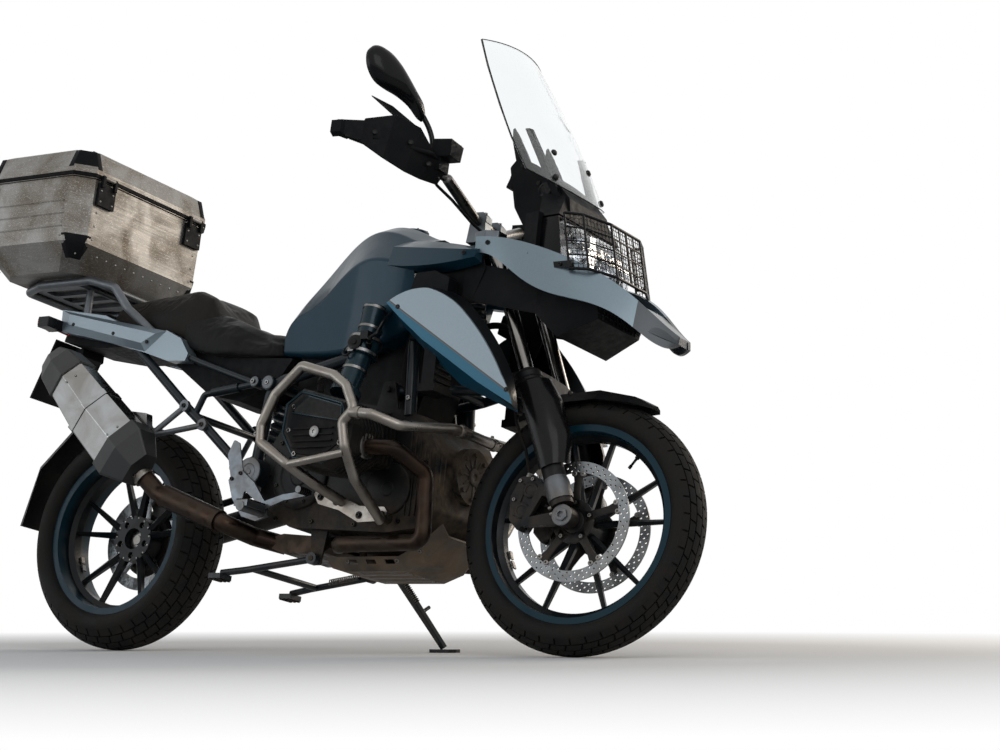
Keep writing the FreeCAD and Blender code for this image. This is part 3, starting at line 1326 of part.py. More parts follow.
# Where two neighbours meet, the first is cut to the second's form; crumbs of the cut go
least_solid = 50.0
meetings = [
    ("tank", "main_frame"), ("tank", "engine"), ("rider_seat", "tank"), ("main_frame", "engine"),
    ("main_frame", "suspension_arm"), ("rear_subframe", "main_frame"),
    ("tail_panels", "rear_subframe"), ("tail_panels", "pillion_seat"),
    ("tail_panels", "tail_unit"), ("luggage_rack", "tail_panels"),
    ("shroud_right", "radiators"), ("shroud_left", "radiators"), ("silencer", "exhaust_pipes"),
    ("swingarm", "main_frame"), ("rear_subframe", "swingarm"), ("tail_unit", "rear_subframe"),
    ("tail_unit", "rider_seat"), ("tail_unit", "pillion_seat"), ("tail_unit", "struts"),
    ("exhaust_pipes", "cylinder_right"), ("exhaust_pipes", "cylinder_left"),
    ("intakes", "cylinder_right"), ("intakes", "cylinder_left"), ("intakes", "tank"),
    ("fork_sliders", "fork_tubes"), ("beak", "headlight"), ("headlight_guard", "beak"),
    ("cockpit", "headlight"), ("front_fender", "fork_sliders"), ("rear_hugger", "swingarm"),
    ("pillion_pegs", "rear_subframe"), ("pillion_seat", "luggage_rack"),
    ("pillion_seat", "rear_subframe"), ("struts", "suspension_arm"), ("struts", "main_frame"),
    ("struts", "swingarm"), ("engine", "struts"), ("footrests", "main_frame"), ("nose_duct", "beak"),
    ("nose_duct", "headlight"), ("windshield", "cockpit"), ("cylinder_right", "crash_bar_right"),
    ("cylinder_left", "crash_bar_left"), ("plate_holder", "tail_unit"),
    ("silencer", "pillion_pegs"), ("engine", "exhaust_pipes"), ("engine", "suspension_arm"),
    ("tail_unit", "tail_light"), ("radiators", "main_frame"), ("tank", "beak"),
    ("radiators", "tank"), ("airbox", "engine"), ("airbox", "tank"), ("airbox", "main_frame"),
    ("airbox", "suspension_arm"), ("airbox", "tail_unit"), ("airbox", "rider_seat"),
]
for name, other in meetings:
    trimmed = shapes[name].cut(shapes[other])
    shapes[name] = Part.makeCompound([solid for solid in trimmed.Solids
                                      if solid.Volume > least_solid])

placed = {}
for name, body, maker in makers:
    if body == "side_stand":
        placed[name] = shapes[name]
    else:
        placed[name] = parked(shapes[name], body in ("fork", "front_wheel"))

bounds = FreeCAD.BoundBox()
for shape in placed.values():
    bounds.add(shape.optimalBoundingBox(False, False))
origin_x = (bounds.XMin + bounds.XMax) / 2
origin_y = (bounds.YMin + bounds.YMax) / 2
shift = FreeCAD.Vector(-origin_x, -origin_y, 0)

for name, shape in placed.items():
    shape.translate(shift)
    shape.exportStep("parts/" + name + ".step")
print("size %.1f x %.1f x %.1f, lowest %.3f" % (bounds.XLength, bounds.YLength, bounds.ZLength,
                                               bounds.ZMin))
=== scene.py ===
import json
import math

import bmesh
import bpy
from mathutils import Matrix, Vector, geometry


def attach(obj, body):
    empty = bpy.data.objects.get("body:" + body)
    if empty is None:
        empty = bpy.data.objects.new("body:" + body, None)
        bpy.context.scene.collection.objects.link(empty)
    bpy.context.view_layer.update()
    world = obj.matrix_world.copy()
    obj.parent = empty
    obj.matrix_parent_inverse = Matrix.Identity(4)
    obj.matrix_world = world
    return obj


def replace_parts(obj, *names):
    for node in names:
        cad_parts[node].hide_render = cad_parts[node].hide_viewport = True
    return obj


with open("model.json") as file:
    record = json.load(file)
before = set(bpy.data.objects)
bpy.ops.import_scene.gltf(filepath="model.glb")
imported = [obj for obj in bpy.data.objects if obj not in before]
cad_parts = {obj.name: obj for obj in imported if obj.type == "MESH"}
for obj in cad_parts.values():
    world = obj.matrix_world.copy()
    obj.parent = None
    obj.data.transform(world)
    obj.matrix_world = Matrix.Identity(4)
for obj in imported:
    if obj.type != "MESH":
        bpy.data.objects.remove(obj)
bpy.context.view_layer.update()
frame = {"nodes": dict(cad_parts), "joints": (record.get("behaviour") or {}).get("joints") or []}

# The motorcycle's upright frame, from its joints: x forward from the rear axle, y left, z up
rake = math.radians(25.5)
rearAxleHeight = 318.0
wheelbase = 1507.0
trail = 99.6
restSteer = math.radians(5.9)
frontAxle = (wheelbase, 325.0)
rearAxle = (0.0, rearAxleHeight)
joints = {joint["name"]: joint for joint in frame["joints"]}


def atAxle(axle, y):
    return (axle[0], y, axle[1])


def jointPlace(name):
    return Vector(joints[name]["pos_m"])


def jointAxis(name):
    return Vector(joints[name]["axis"]).normalized()


left = jointAxis("rear_wheel_spin")
steer = jointAxis("steering")
across = steer.cross(left)
forward = -(math.cos(rake) * across + math.sin(rake) * steer)
upward = forward.cross(left)
turned = Matrix((forward, left, upward)).transposed().to_4x4()
upright = Matrix.Translation(jointPlace("rear_wheel_spin")) @ turned
upright = upright @ Matrix.Translation((0, 0, -rearAxleHeight / 1000)) @ Matrix.Scale(0.001, 4)
fromUpright = upright.inverted()
foot = Vector((wheelbase + trail, 0, 0))
steerLine = Vector((-math.sin(rake), 0, math.cos(rake)))
steered = (upright @ Matrix.Translation(foot) @ Matrix.Rotation(restSteer, 4, steerLine)
           @ Matrix.Translation(-foot))
print("frame ready", [round(value, 3) for value in upright.translation])


# Materials: every colour and roughness comes from noise on the object's own coordinates

# A tree of shader nodes, where a value is either a link or a constant on the socket
class Nodes:
    def __init__(self, owner):
        owner.use_nodes = True
        self.tree = owner.node_tree
        self.tree.nodes.clear()

    def wire(self, value, socket):
        if isinstance(value, bpy.types.NodeSocket):
            self.tree.links.new(value, socket)
        elif socket.type == "RGBA":
            socket.default_value = tuple(value) + (1.0,)
        else:
            socket.default_value = value

    def node(self, kind, values=None, operation=None):
        node = self.tree.nodes.new("ShaderNode" + kind)
        if operation:
            node.operation = operation
        for name, value in (values or {}).items():
            self.wire(value, node.inputs[name])
        return node

    def reckon(self, operation, first, second=0.0):
        return self.node("Math", {0: first, 1: second}, operation).outputs[0]

    def plus(self, first, second):
        return self.reckon("ADD", first, second)

    def times(self, first, second):
        return self.reckon("MULTIPLY", first, second)

    def larger(self, first, second):
        return self.reckon("MAXIMUM", first, second)

    def vector(self, operation, values, output=0):
        return self.node("VectorMath", dict(enumerate(values)), operation).outputs[output]

    def spread(self, value, low, high, newLow=0.0, newHigh=1.0):
        return self.node("MapRange", {"Value": value, "From Min": low, "From Max": high,
                                      "To Min": newLow, "To Max": newHigh}).outputs[0]

    def blend(self, factor, first, second):
        node = self.node("Mix")
        node.data_type = "RGBA"
        for index, value in ((0, factor), (6, first), (7, second)):
            self.wire(value, node.inputs[index])
        return node.outputs[2]

    def mixShaders(self, factor, first, second):
        return self.node("MixShader", {0: factor, 1: first, 2: second}).outputs[0]


finishes = {}


# A material whose place is the object's own, turned into the upright frame, in metres
class Paint(Nodes):
    def __init__(self, name, settings):
        self.material = bpy.data.materials.new(name)
        super().__init__(self.material)
        self.shader = self.node("BsdfPrincipled", settings)
        self.output = self.node("OutputMaterial", {0: self.shader.outputs[0]})
        inverse = (upright @ Matrix.Scale(1000, 4)).inverted()
        coordinates = self.node("TexCoord")
        self.place = self.node("Mapping", {
            "Vector": coordinates.outputs["Object"], "Location": inverse.translation,
            "Rotation": inverse.to_euler()}).outputs[0]

    def stretched(self, stretch):
        return self.node("Mapping", {"Vector": self.place, "Scale": stretch}).outputs[0]

    def noise(self, scale, detail=4.0, distortion=0.0, place=None):
        return self.node("TexNoise", {"Vector": place or self.place, "Scale": scale,
                                      "Detail": detail, "Distortion": distortion}).outputs["Fac"]

    # Noise as a share, from 0 at the low value to 1 at the high one
    def cloud(self, scale, detail, distortion, low, high, newLow=0.0, newHigh=1.0):
        return self.spread(self.noise(scale, detail, distortion), low, high, newLow, newHigh)

    # One part of the place: 0 forward, 1 left, 2 up
    def part(self, index):
        return self.node("SeparateXYZ", {0: self.place}).outputs[index]

    def along(self, direction, place=None):
        return self.vector("DOT_PRODUCT", (place or self.place, direction), "Value")

    # Keeps to one side of a line through two places, given as forward and up in millimetres
    def beyondLine(self, first, last):
        run = (last[0] - first[0], last[1] - first[1])
        length = math.hypot(*run)
        normal = (-run[1] / length, 0.0, run[0] / length)
        level = (first[0] * normal[0] + first[1] * normal[2]) / 1000
        return self.spread(self.along(normal), level - lineHalf, level + lineHalf)

    def made(self, colour, roughness, bump=None, metal=None):
        self.wire(colour, self.shader.inputs["Base Color"])
        self.wire(roughness, self.shader.inputs["Roughness"])
        if metal:
            self.wire(metal, self.shader.inputs["Metallic"])
        if bump:
            values = dict(zip(("Height", "Strength", "Distance"), bump))
            self.wire(self.node("Bump", values).outputs[0], self.shader.inputs["Normal"])
        finishes[self.material.name] = self.material


lineHalf = 0.0005
dustColour = (0.23, 0.17, 0.115)


def makeFinish(name, colour, second, patch=9.0, rough=(0.35, 0.5), metal=0.0, grain=0.0,
               grainScale=700.0, coat=0.0, dust=0.0, dustTop=0.75, stretch=(1, 1, 1),
               specular=0.18):
    paint = Paint(name, {"Metallic": metal, "Coat Weight": coat, "Coat Roughness": 0.12,
                         "Specular IOR Level": specular})
    shade = paint.blend(paint.cloud(patch, 5.0, 0.3, 0.32, 0.68), colour, second)
    roughness = paint.cloud(patch * 5, 6.0, 0.0, 0.3, 0.7, *rough)
    if dust > 0:
        height = paint.spread(paint.part(2), 0.15, dustTop, 1.0, 0.0)
        amount = paint.times(height, paint.cloud(14.0, 8.0, 0.6, 0.38, 0.62))
        amount = paint.times(amount, dust)
        shade = paint.blend(amount, shade, dustColour)
        roughness = paint.plus(roughness, paint.times(amount, 0.5))
    bump = None
    if grain > 0:
        bump = (paint.noise(grainScale, 3.0, place=paint.stretched(stretch)), grain, 0.001)
    paint.made(shade, roughness, bump)


makeFinish("framePaint", (0.005, 0.009, 0.013), (0.008, 0.014, 0.019), rough=(0.28, 0.42),
           coat=0.12, grain=0.08, dust=0.1)
makeFinish("finCast", (0.007, 0.0078, 0.0085), (0.014, 0.0138, 0.013), 22.0, (0.42, 0.62), 0.4,
           0.35, 520.0, dust=0.2, dustTop=0.6)
makeFinish("coverPaint", (0.005, 0.02, 0.029), (0.009, 0.029, 0.039), 12.0, (0.24, 0.36), 0.3,
           0.08, 900.0, coat=0.12, dust=0.1)
makeFinish("blackPlastic", (0.0042, 0.0048, 0.0056), (0.0085, 0.0088, 0.0096), 12.0,
           (0.42, 0.6), grain=0.3, grainScale=900.0, dust=0.07, specular=0.07)
makeFinish("smoothBlack", (0.003, 0.0035, 0.0042), (0.006, 0.0063, 0.007), 10.0, (0.2, 0.32),
           coat=0.12, dust=0.05, specular=0.1)
makeFinish("guardSteel", (0.25, 0.235, 0.215), (0.165, 0.148, 0.13), 12.0, (0.24, 0.4), 1.0,
           0.15, 260.0, dust=0.3, stretch=(1, 1, 0.15))
makeFinish("forkSteel", (0.34, 0.35, 0.35), (0.26, 0.26, 0.255), 12.0, (0.12, 0.22), 1.0, 0.05,
           900.0, dust=0.15)
makeFinish("castGrey", (0.13, 0.142, 0.155), (0.09, 0.095, 0.1), 14.0, (0.36, 0.5), 0.8, 0.3,
           600.0, dust=0.3)
makeFinish("castBlack", (0.006, 0.0068, 0.008), (0.012, 0.0125, 0.0135), 14.0, (0.36, 0.5),
           0.3, 0.25, 650.0, dust=0.15)
makeFinish("barAlloy", (0.15, 0.145, 0.14), (0.1, 0.096, 0.092), 14.0, (0.26, 0.38), 1.0, 0.15,
           500.0, stretch=(1, 0.2, 1))
makeFinish("plateAlloy", (0.2, 0.205, 0.21), (0.14, 0.136, 0.13), 20.0, (0.32, 0.46), 1.0,
           0.25, 420.0, dust=0.45, dustTop=0.5)
makeFinish("skidAlloy", (0.125, 0.108, 0.09), (0.075, 0.062, 0.05), 9.0, (0.36, 0.55), 0.8,
           0.3, 420.0, dust=0.9, dustTop=0.4)
makeFinish("plateGrey", (0.15, 0.17, 0.19), (0.1, 0.115, 0.13), 14.0, (0.3, 0.44), 0.9, 0.2,
           500.0, dust=0.3)
makeFinish("discSteel", (0.22, 0.24, 0.255), (0.15, 0.16, 0.168), 30.0, (0.26, 0.4), 1.0, 0.12,
           500.0, dust=0.2)
makeFinish("boltSteel", (0.23, 0.228, 0.225), (0.15, 0.146, 0.14), 30.0, (0.28, 0.4), 1.0, 0.1,
           700.0, dust=0.3)
makeFinish("boltBlack", (0.01, 0.0105, 0.011), (0.018, 0.0178, 0.0175), 30.0, (0.3, 0.45), 0.6,
           0.1, 700.0, dust=0.2)
makeFinish("rubberBlack", (0.005, 0.005, 0.0055), (0.0085, 0.0085, 0.0088), 20.0,
           (0.55, 0.75), grain=0.3, grainScale=800.0, dust=0.12, specular=0.08)
makeFinish("mirrorGlass", (0.75, 0.77, 0.8), (0.7, 0.72, 0.75), 4.0, (0.03, 0.05), 1.0)
makeFinish("screenGlass", (0.006, 0.007, 0.008), (0.01, 0.011, 0.012), 8.0, (0.06, 0.12),
           coat=0.6)
makeFinish("plateBlank", (0.56, 0.56, 0.54), (0.5, 0.5, 0.48), 12.0, (0.35, 0.5), grain=0.1,
           dust=0.25, dustTop=1.2)
makeFinish("signalRed", (0.35, 0.02, 0.015), (0.28, 0.016, 0.012), 12.0, (0.3, 0.4))
makeFinish("springWire", (0.14, 0.138, 0.135), (0.09, 0.087, 0.083), 30.0, (0.3, 0.42), 1.0,
           0.1, 700.0, dust=0.2)
makeFinish("lampChrome", (0.72, 0.74, 0.76), (0.6, 0.62, 0.64), 30.0, (0.05, 0.14), 1.0)


# Silver panel paint: fine flakes under a clear coat, with a wholly even colour
def panelPaint(name, colour, second):
    paint = Paint(name, {"Metallic": 0.5, "Coat Weight": 0.3, "Coat Roughness": 0.12})
    silver = paint.blend(paint.cloud(2200.0, 2.0, 0.0, 0.4, 0.64), colour, second)
    return paint, silver, paint.cloud(9.0, 5.0, 0.0, 0.3, 0.7, 0.27, 0.36)


# Shroud: silver above a folded line, petrol below it, a narrow painted shadow along the fold, black at
# its foot
def makeShroudPaint():
    paint, silver, haze = panelPaint("shroudPaint", (0.2, 0.26, 0.3), (0.32, 0.385, 0.43))
    upper = paint.beyondLine((1022, 866), (1404, 612))
    below = paint.beyondLine((1022, 871), (1404, 617))
    # Painted shadow: a 5 mm band of the silver just above the fold line, painted dark brown as the
    # fold's shade
    foldShadow = paint.times(paint.reckon("SUBTRACT", 1.0, below), upper)
    outward = paint.vector("ABSOLUTE", (paint.place,))
    outer = paint.spread(paint.along((0.09, 1.0, 0.0), outward), 0.3510, 0.3518)
    lower = paint.blend(upper, (0.014, 0.1, 0.165), silver)
    # Lays the fold's painted shadow colour over the silver and petrol
    toneWithFoldShadow = paint.blend(foldShadow, lower, (0.07, 0.06, 0.052))
    foot = paint.beyondLine((1017, 852), (1412, 576))
    side = paint.blend(foot, (0.012, 0.085, 0.145), (0.006, 0.008, 0.01))
    paint.made(paint.blend(outer, side, toneWithFoldShadow), haze)


# Beak: silver with a dark tip
def makeBeakPaint():
    paint, silver, haze = panelPaint("beakPaint", (0.12, 0.165, 0.195), (0.19, 0.25, 0.285))
    tip = paint.spread(paint.part(0), 1.6505, 1.651)
    paint.made(paint.blend(tip, silver, (0.02, 0.025, 0.03)), haze)


# Engine casting: near black, with dried mud low down and on the front cover
def makeEngineCast():
    paint = Paint("engineCast", {"Specular IOR Level": 0.18})
    metal = paint.blend(paint.cloud(16.0, 6.0, 0.4, 0.32, 0.68), (0.0085, 0.0092, 0.01),
                        (0.016, 0.0157, 0.0148))
    front = paint.spread(paint.part(0), 1.03, 1.12)
    lowDown = paint.spread(paint.part(2), 0.4, 0.27)
    mud = paint.times(paint.larger(front, lowDown), paint.cloud(13.0, 9.0, 0.7, 0.36, 0.6))
    shade = paint.blend(paint.cloud(60.0, 6.0, 0.0, 0.3, 0.7), (0.1, 0.074, 0.05),
                        (0.05, 0.037, 0.027))
    clean = paint.times(paint.reckon("SUBTRACT", 1.0, mud), 0.5)
    grit = paint.plus(paint.noise(420.0), paint.times(paint.noise(90.0, 8.0), 0.8))
    paint.made(paint.blend(mud, metal, shade), paint.spread(mud, 0, 1, 0.46, 0.85),
               (grit, 0.45, 0.0012), clean)


# Fork steel, black on the legs' outer sides, with a cast grey bridge and risers above
def makeForkSteel():
    paint = Paint("forkMetal", {"Metallic": 1.0})
    patches = paint.cloud(12.0, 5.0, 0.0, 0.32, 0.68)
    steel = paint.blend(patches, (0.27, 0.262, 0.25), (0.18, 0.172, 0.162))
    cast = paint.blend(patches, (0.14, 0.155, 0.17), (0.09, 0.1, 0.11))
    high = paint.spread(paint.part(2), 1.046, 1.047)
    leg = paint.spread(paint.reckon("ABSOLUTE", paint.part(1)), 0.076, 0.078)
    steel = paint.blend(leg, (0.008, 0.0085, 0.0095), steel)
    roughness = paint.plus(paint.spread(patches, 0, 1, 0.14, 0.24), paint.times(high, 0.22))
    fine = paint.noise(600.0, 3.0, place=paint.stretched((1, 1, 0.1)))
    paint.made(paint.blend(high, steel, cast), roughness, (fine, 0.06, 0.0005))


# Dark petrol metallic paint with fine flakes under a clear coat
def makeTankPaint():
    paint = Paint("tankPaint", {"Metallic": 0.2, "Coat Weight": 0.22, "Coat Roughness": 0.08,
                                "Specular IOR Level": 0.12})
    shade = paint.blend(paint.cloud(2600.0, 2.0, 0.0, 0.42, 0.62), (0.003, 0.02, 0.034),
                        (0.009, 0.045, 0.072))
    paint.made(shade, paint.cloud(18.0, 6.0, 0.0, 0.35, 0.7, 0.3, 0.42))


# Tyre rubber with dusty flanks
def makeTyreRubber():
    paint = Paint("tyreRubber", {"Specular IOR Level": 0.15})
    patches = paint.cloud(16.0, 8.0, 0.8, 0.35, 0.7)
    paint.made(paint.blend(patches, (0.0065, 0.0068, 0.007), (0.02, 0.0178, 0.015)),
               paint.spread(patches, 0, 1, 0.62, 0.88), (paint.noise(520.0), 0.25, 0.001))


# Rim paint: near black with a petrol blue lip, found from the distance to the axle
def makeRimPaint(name, axle, lipFrom):
    paint = Paint(name, {"Specular IOR Level": 0.12, "Coat Weight": 0.08,
                         "Coat Roughness": 0.2})
    reach = paint.vector("SUBTRACT", (paint.place, Vector(atAxle(axle, 0)) / 1000))
    flat = paint.vector("MULTIPLY", (reach, (1, 0, 1)))
    lip = paint.spread(paint.vector("LENGTH", (flat,), "Value"), lipFrom / 1000,
                       (lipFrom + 2) / 1000)
    grime = paint.cloud(24.0, 7.0, 0.5, 0.4, 0.7)
    black = paint.blend(grime, (0.005, 0.0075, 0.01), (0.016, 0.0155, 0.0145))
    paint.made(paint.blend(lip, black, (0.005, 0.028, 0.043)),
               paint.spread(grime, 0, 1, 0.28, 0.5))


# Seat cover with a fine leather grain
def makeLeather(name, colour, second):
    paint = Paint(name, {"Specular IOR Level": 0.1, "Sheen Weight": 0.03,
                         "Sheen Roughness": 0.5})
    cells = paint.node("TexVoronoi", {"Vector": paint.place, "Scale": 420.0})
    cells.feature = "DISTANCE_TO_EDGE"
    creases = paint.spread(cells.outputs["Distance"], 0.0, 0.12)
    worn = paint.cloud(7.0, 5.0, 0.0, 0.35, 0.7)
    paint.made(paint.blend(worn, colour, second), paint.spread(worn, 0, 1, 0.38, 0.58),
               (creases, 0.35, 0.0006))


# Brushed and scratched sheet of the luggage case
def makeCaseSheet():
    paint = Paint("caseSheet", {"Metallic": 1.0})
    brushed = paint.noise(1.0, 6.0, place=paint.stretched((6, 6, 420)))
    scratch = paint.node("TexWave", {"Vector": paint.stretched((1.6, 1.1, 5.5)), "Scale": 9.0,
                                     "Distortion": 26.0, "Detail": 3.0, "Detail Scale": 2.2})
    marks = paint.spread(scratch.outputs["Fac"], 0.965, 0.995)
    grime = paint.cloud(7.0, 8.0, 0.8, 0.4, 0.66)
    sheet = paint.blend(grime, (0.24, 0.235, 0.225), (0.13, 0.112, 0.09))
    rough = paint.plus(paint.spread(brushed, 0.3, 0.7, 0.42, 0.56), paint.times(grime, 0.12))
    paint.made(paint.blend(marks, sheet, (0.36, 0.35, 0.335)), rough, (brushed, 0.12, 0.0006))


# Header pipes, bronze where they ran hot, with road dirt below
def makeHeaderSteel():
    paint = Paint("headerSteel", {"Metallic": 1.0})
    steel = paint.blend(paint.cloud(9.0, 6.0, 1.2, 0.3, 0.7), (0.038, 0.0235, 0.0165),
                        (0.02, 0.0155, 0.0135))
    height = paint.spread(paint.part(2), 0.24, 0.5, 1.0, 0.0)
    dirt = paint.times(height, paint.cloud(30.0, 8.0, 0.0, 0.4, 0.62))
    paint.made(paint.blend(dirt, steel, (0.05, 0.039, 0.03)),
               paint.spread(dirt, 0, 1, 0.32, 0.7), (paint.noise(300.0), 0.15, 0.001))


# Polished silencer with faint smears, black end cap and foot
def makeSilencerSteel():
    paint = Paint("silencerSteel", {})
    smear = paint.cloud(12.0, 7.0, 0.6, 0.35, 0.7)
    steel = paint.blend(smear, (0.36, 0.375, 0.385), (0.23, 0.222, 0.21))
    reach = paint.along((-0.7314, 0, 0.682))
    black = paint.larger(paint.spread(reach, 0.2302, 0.2306, 1.0, 0.0),
                         paint.spread(reach, 0.512, 0.5124))
    roughness = paint.plus(paint.spread(smear, 0, 1, 0.12, 0.24), paint.times(black, 0.3))
    paint.made(paint.blend(black, steel, (0.006, 0.0065, 0.007)), roughness,
               metal=paint.reckon("SUBTRACT", 1.0, black))


def makeClear(name, colour, roughness):
    paint = Paint(name, {"Transmission Weight": 1.0, "IOR": 1.45, "Coat Weight": 0.2})
    smears = paint.cloud(22.0, 6.0, 0.0, 0.4, 0.75, roughness, roughness + 0.05)
    tint = paint.cloud(6.0, 3.0, 0.0, 0.3, 0.7)
    paint.made(paint.blend(tint, colour, tuple(value * 0.96 for value in colour)), smears)


paint, silver, haze = panelPaint("panelSilver", (0.15, 0.195, 0.225), (0.235, 0.29, 0.325))
paint.made(silver, haze)
for make in (makeEngineCast, makeForkSteel, makeShroudPaint, makeBeakPaint, makeTankPaint,
             makeTyreRubber, makeCaseSheet, makeHeaderSteel, makeSilencerSteel):
    make()
makeRimPaint("frontRim", frontAxle, 233.0)
makeRimPaint("rearRim", rearAxle, 209.0)
makeLeather("seatCover", (0.005, 0.0052, 0.0055), (0.01, 0.0096, 0.009))
makeLeather("pillionCover", (0.0075, 0.007, 0.0062), (0.016, 0.0128, 0.0098))
makeClear("screenClear", (0.93, 0.96, 0.97), 0.0)
makeClear("lensClear", (0.96, 0.98, 1.0), 0.0)
makeClear("amberLens", (0.95, 0.42, 0.06), 0.08)
makeClear("redLens", (0.75, 0.03, 0.025), 0.08)

finishNodes = {
    "framePaint": "main_frame rear_subframe struts suspension_arm centre_stand side_stand",
    "engineCast": "engine",
    "finCast": "cylinder_right cylinder_left",
    "coverPaint": "intakes",
    "headerSteel": "exhaust_pipes",
    "silencerSteel": "silencer",
    "skidAlloy": "skid_plate",
    "guardSteel": "crash_bar_right crash_bar_left",
    "tankPaint": "tank",
    "shroudPaint": "shroud_right shroud_left",
    "beakPaint": "beak",
    "blackPlastic": "airbox radiators nose_duct cockpit tail_unit case_fittings plate_holder"
                    " rear_hugger hand_controls handguards front_fender",
    "smoothBlack": "headlight headlight_guard mirrors",
    "screenClear": "windshield",
    "seatCover": "rider_seat",
    "pillionCover": "pillion_seat",
    "panelSilver": "tail_panels",
    "castGrey": "luggage_rack pillion_pegs",
    "caseSheet": "case_shell case_lid",
    "redLens": "tail_light",
    "castBlack": "swingarm fork_sliders front_calipers",
    "plateGrey": "footrests",
    "forkMetal": "fork_tubes",
    "barAlloy": "handlebar",
    "rubberBlack": "brake_hoses",
    "forkSteel": "front_axle",
    "frontRim": "front_rim",
    "rearRim": "rear_rim",
    "tyreRubber": "front_tyre rear_tyre",
    "discSteel": "front_discs rear_disc",
}
for finish, nodes in finishNodes.items():
    for node in nodes.split():
        mesh = frame["nodes"][node].data
        mesh.materials.clear()
        mesh.materials.append(finishes[finish])
print("materials ready")


# Camera at the photograph's place, near the ground at the right front
camera = bpy.data.objects.new("camera", bpy.data.cameras.new("camera"))
bpy.context.scene.collection.objects.link(camera)
camera.location = (4.15439, -5.40040, 0.14586)
camera.rotation_euler = (math.radians(90 + 5.088), math.radians(0.025), math.radians(34.099))
camera.data.lens = 90.0
camera.data.clip_end = 100.0
bpy.context.scene.camera = camera
bpy.context.scene.view_settings.view_transform = "Standard"


def addLight(name, place, aim, size, power, colour):
    light = bpy.data.lights.new(name, "AREA")
    light.shape = "RECTANGLE"
    light.size = size[0]
    light.size_y = size[1]
    light.energy = power
    light.color = colour
    lamp = bpy.data.objects.new(name, light)
    bpy.context.scene.collection.objects.link(lamp)
    lamp.location = place
    lamp.rotation_euler = (Vector(aim) - Vector(place)).to_track_quat("-Z", "Y").to_euler()


addLight("keyLight", (3.6, -3.4, 3.2), (0, 0, 0.7), (3.0, 2.4), 48, (0.97, 0.98, 1.0))
addLight("backLight", (2.6, 4.2, 2.2), (0, 0, 0.8), (2.4, 1.6), 95, (1.0, 0.86, 0.7))
addLight("sideLight", (-3.0, -3.8, 1.6), (-0.3, 0, 0.6), (2.6, 2.0), 26, (0.9, 0.95, 1.0))


# White to the camera, to gloss and through glass, and a soft grey sky to everything else
def makeWorld():
    world = bpy.data.worlds.new("studio")
    nodes = Nodes(world)
    sky = nodes.node("Background", {"Color": (0.92, 0.95, 1.0), "Strength": 0.34})
    white = nodes.node("Background", {"Color": (1.0, 1.0, 1.0)})
    rays = nodes.node("LightPath").outputs
    seen = nodes.larger(rays["Is Camera Ray"], rays["Is Transmission Ray"])
    seen = nodes.larger(seen, rays["Is Glossy Ray"])
    nodes.node("OutputWorld", {0: nodes.mixShaders(seen, sky.outputs[0], white.outputs[0])})
    bpy.context.scene.world = world


makeWorld()

floorMesh = bpy.data.meshes.new("floor")
floorMesh.from_pydata([(-30, -30, 0), (30, -30, 0), (30, 30, 0), (-30, 30, 0)], [],
                      [(0, 1, 2, 3)])
floor = bpy.data.objects.new("floor", floorMesh)
bpy.context.scene.collection.objects.link(floor)


# Pale floor that turns to plain white for the camera away from the motorcycle
def makeFloorPaint():
    material = bpy.data.materials.new("floorPaint")
    nodes = Nodes(material)
    plain = nodes.node("BsdfPrincipled", {"Base Color": (0.8, 0.8, 0.79), "Roughness": 0.85})
    reach = nodes.vector("LENGTH", (nodes.node("TexCoord").outputs["Object"],), "Value")
    rays = nodes.node("LightPath").outputs
    seen = nodes.times(nodes.spread(reach, 1.6, 4.2), rays["Is Camera Ray"])
    white = nodes.node("Emission")
    mixed = nodes.mixShaders(seen, plain.outputs[0], white.outputs[0])
    nodes.node("OutputMaterial", {0: mixed})
    return material


floorMesh.materials.append(makeFloorPaint())
print("camera, lights and floor ready")


# Places are millimetres in the upright frame, or in the steered one for the front end
def addMesh(name, vertices, faces, finish, body):
    mesh = bpy.data.meshes.new(name)
    mesh.from_pydata([tuple(vertex) for vertex in vertices], [], faces)
    mesh.transform(steered if body in ("fork", "front_wheel") else upright)
    shape = bmesh.new()
    shape.from_mesh(mesh)
    bmesh.ops.recalc_face_normals(shape, faces=shape.faces)
    shape.to_mesh(mesh)
    shape.free()
    mesh.materials.append(finishes[finish])
    piece = bpy.data.objects.new(name, mesh)
    bpy.context.scene.collection.objects.link(piece)
    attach(piece, body)
    return piece


# Faces stay smooth across edges flatter than the given angle
def sharpen(mesh, degrees):
    for polygon in mesh.polygons:
        polygon.use_smooth = True
    mesh.set_sharp_from_angle(angle=math.radians(degrees))


# The arc from the first point over the middle one to the last, in even steps
def arcThrough(first, middle, last, steps):
    (ax, ay), (bx, by), (cx, cy) = first, middle, last
    scale = 2 * (ax * (by - cy) + bx * (cy - ay) + cx * (ay - by))
    sa, sb, sc = ax * ax + ay * ay, bx * bx + by * by, cx * cx + cy * cy
    ux = (sa * (by - cy) + sb * (cy - ay) + sc * (ay - by)) / scale
    uy = (sa * (cx - bx) + sb * (ax - cx) + sc * (bx - ax)) / scale
    radius = math.hypot(ax - ux, ay - uy)
    start = math.atan2(ay - uy, ax - ux)
    half = math.remainder(math.atan2(by - uy, bx - ux) - start, math.tau)
    end = half + math.remainder(math.atan2(cy - uy, cx - ux) - start - half, math.tau)
    return [(ux + radius * math.cos(start + end * step / steps),
             uy + radius * math.sin(start + end * step / steps)) for step in range(steps + 1)]


# Tyres: a carcass a little inside the solid's tread, with blocks that reach its surface
tyreSettings = {
    "front": {"axle": frontAxle, "radius": 325.0, "width": 120.0, "bead": 241.3,
              "edge": 254.0, "half": 44.0, "crown": 64.0, "pitches": 44},
    "rear": {"axle": rearAxle, "radius": 318.0, "width": 170.0, "bead": 215.9,
             "edge": 230.0, "half": 64.0, "crown": 92.0, "pitches": 42},
}
tyreSteps = 132
treadDepth = 6.0
grooveWidth = 4.0
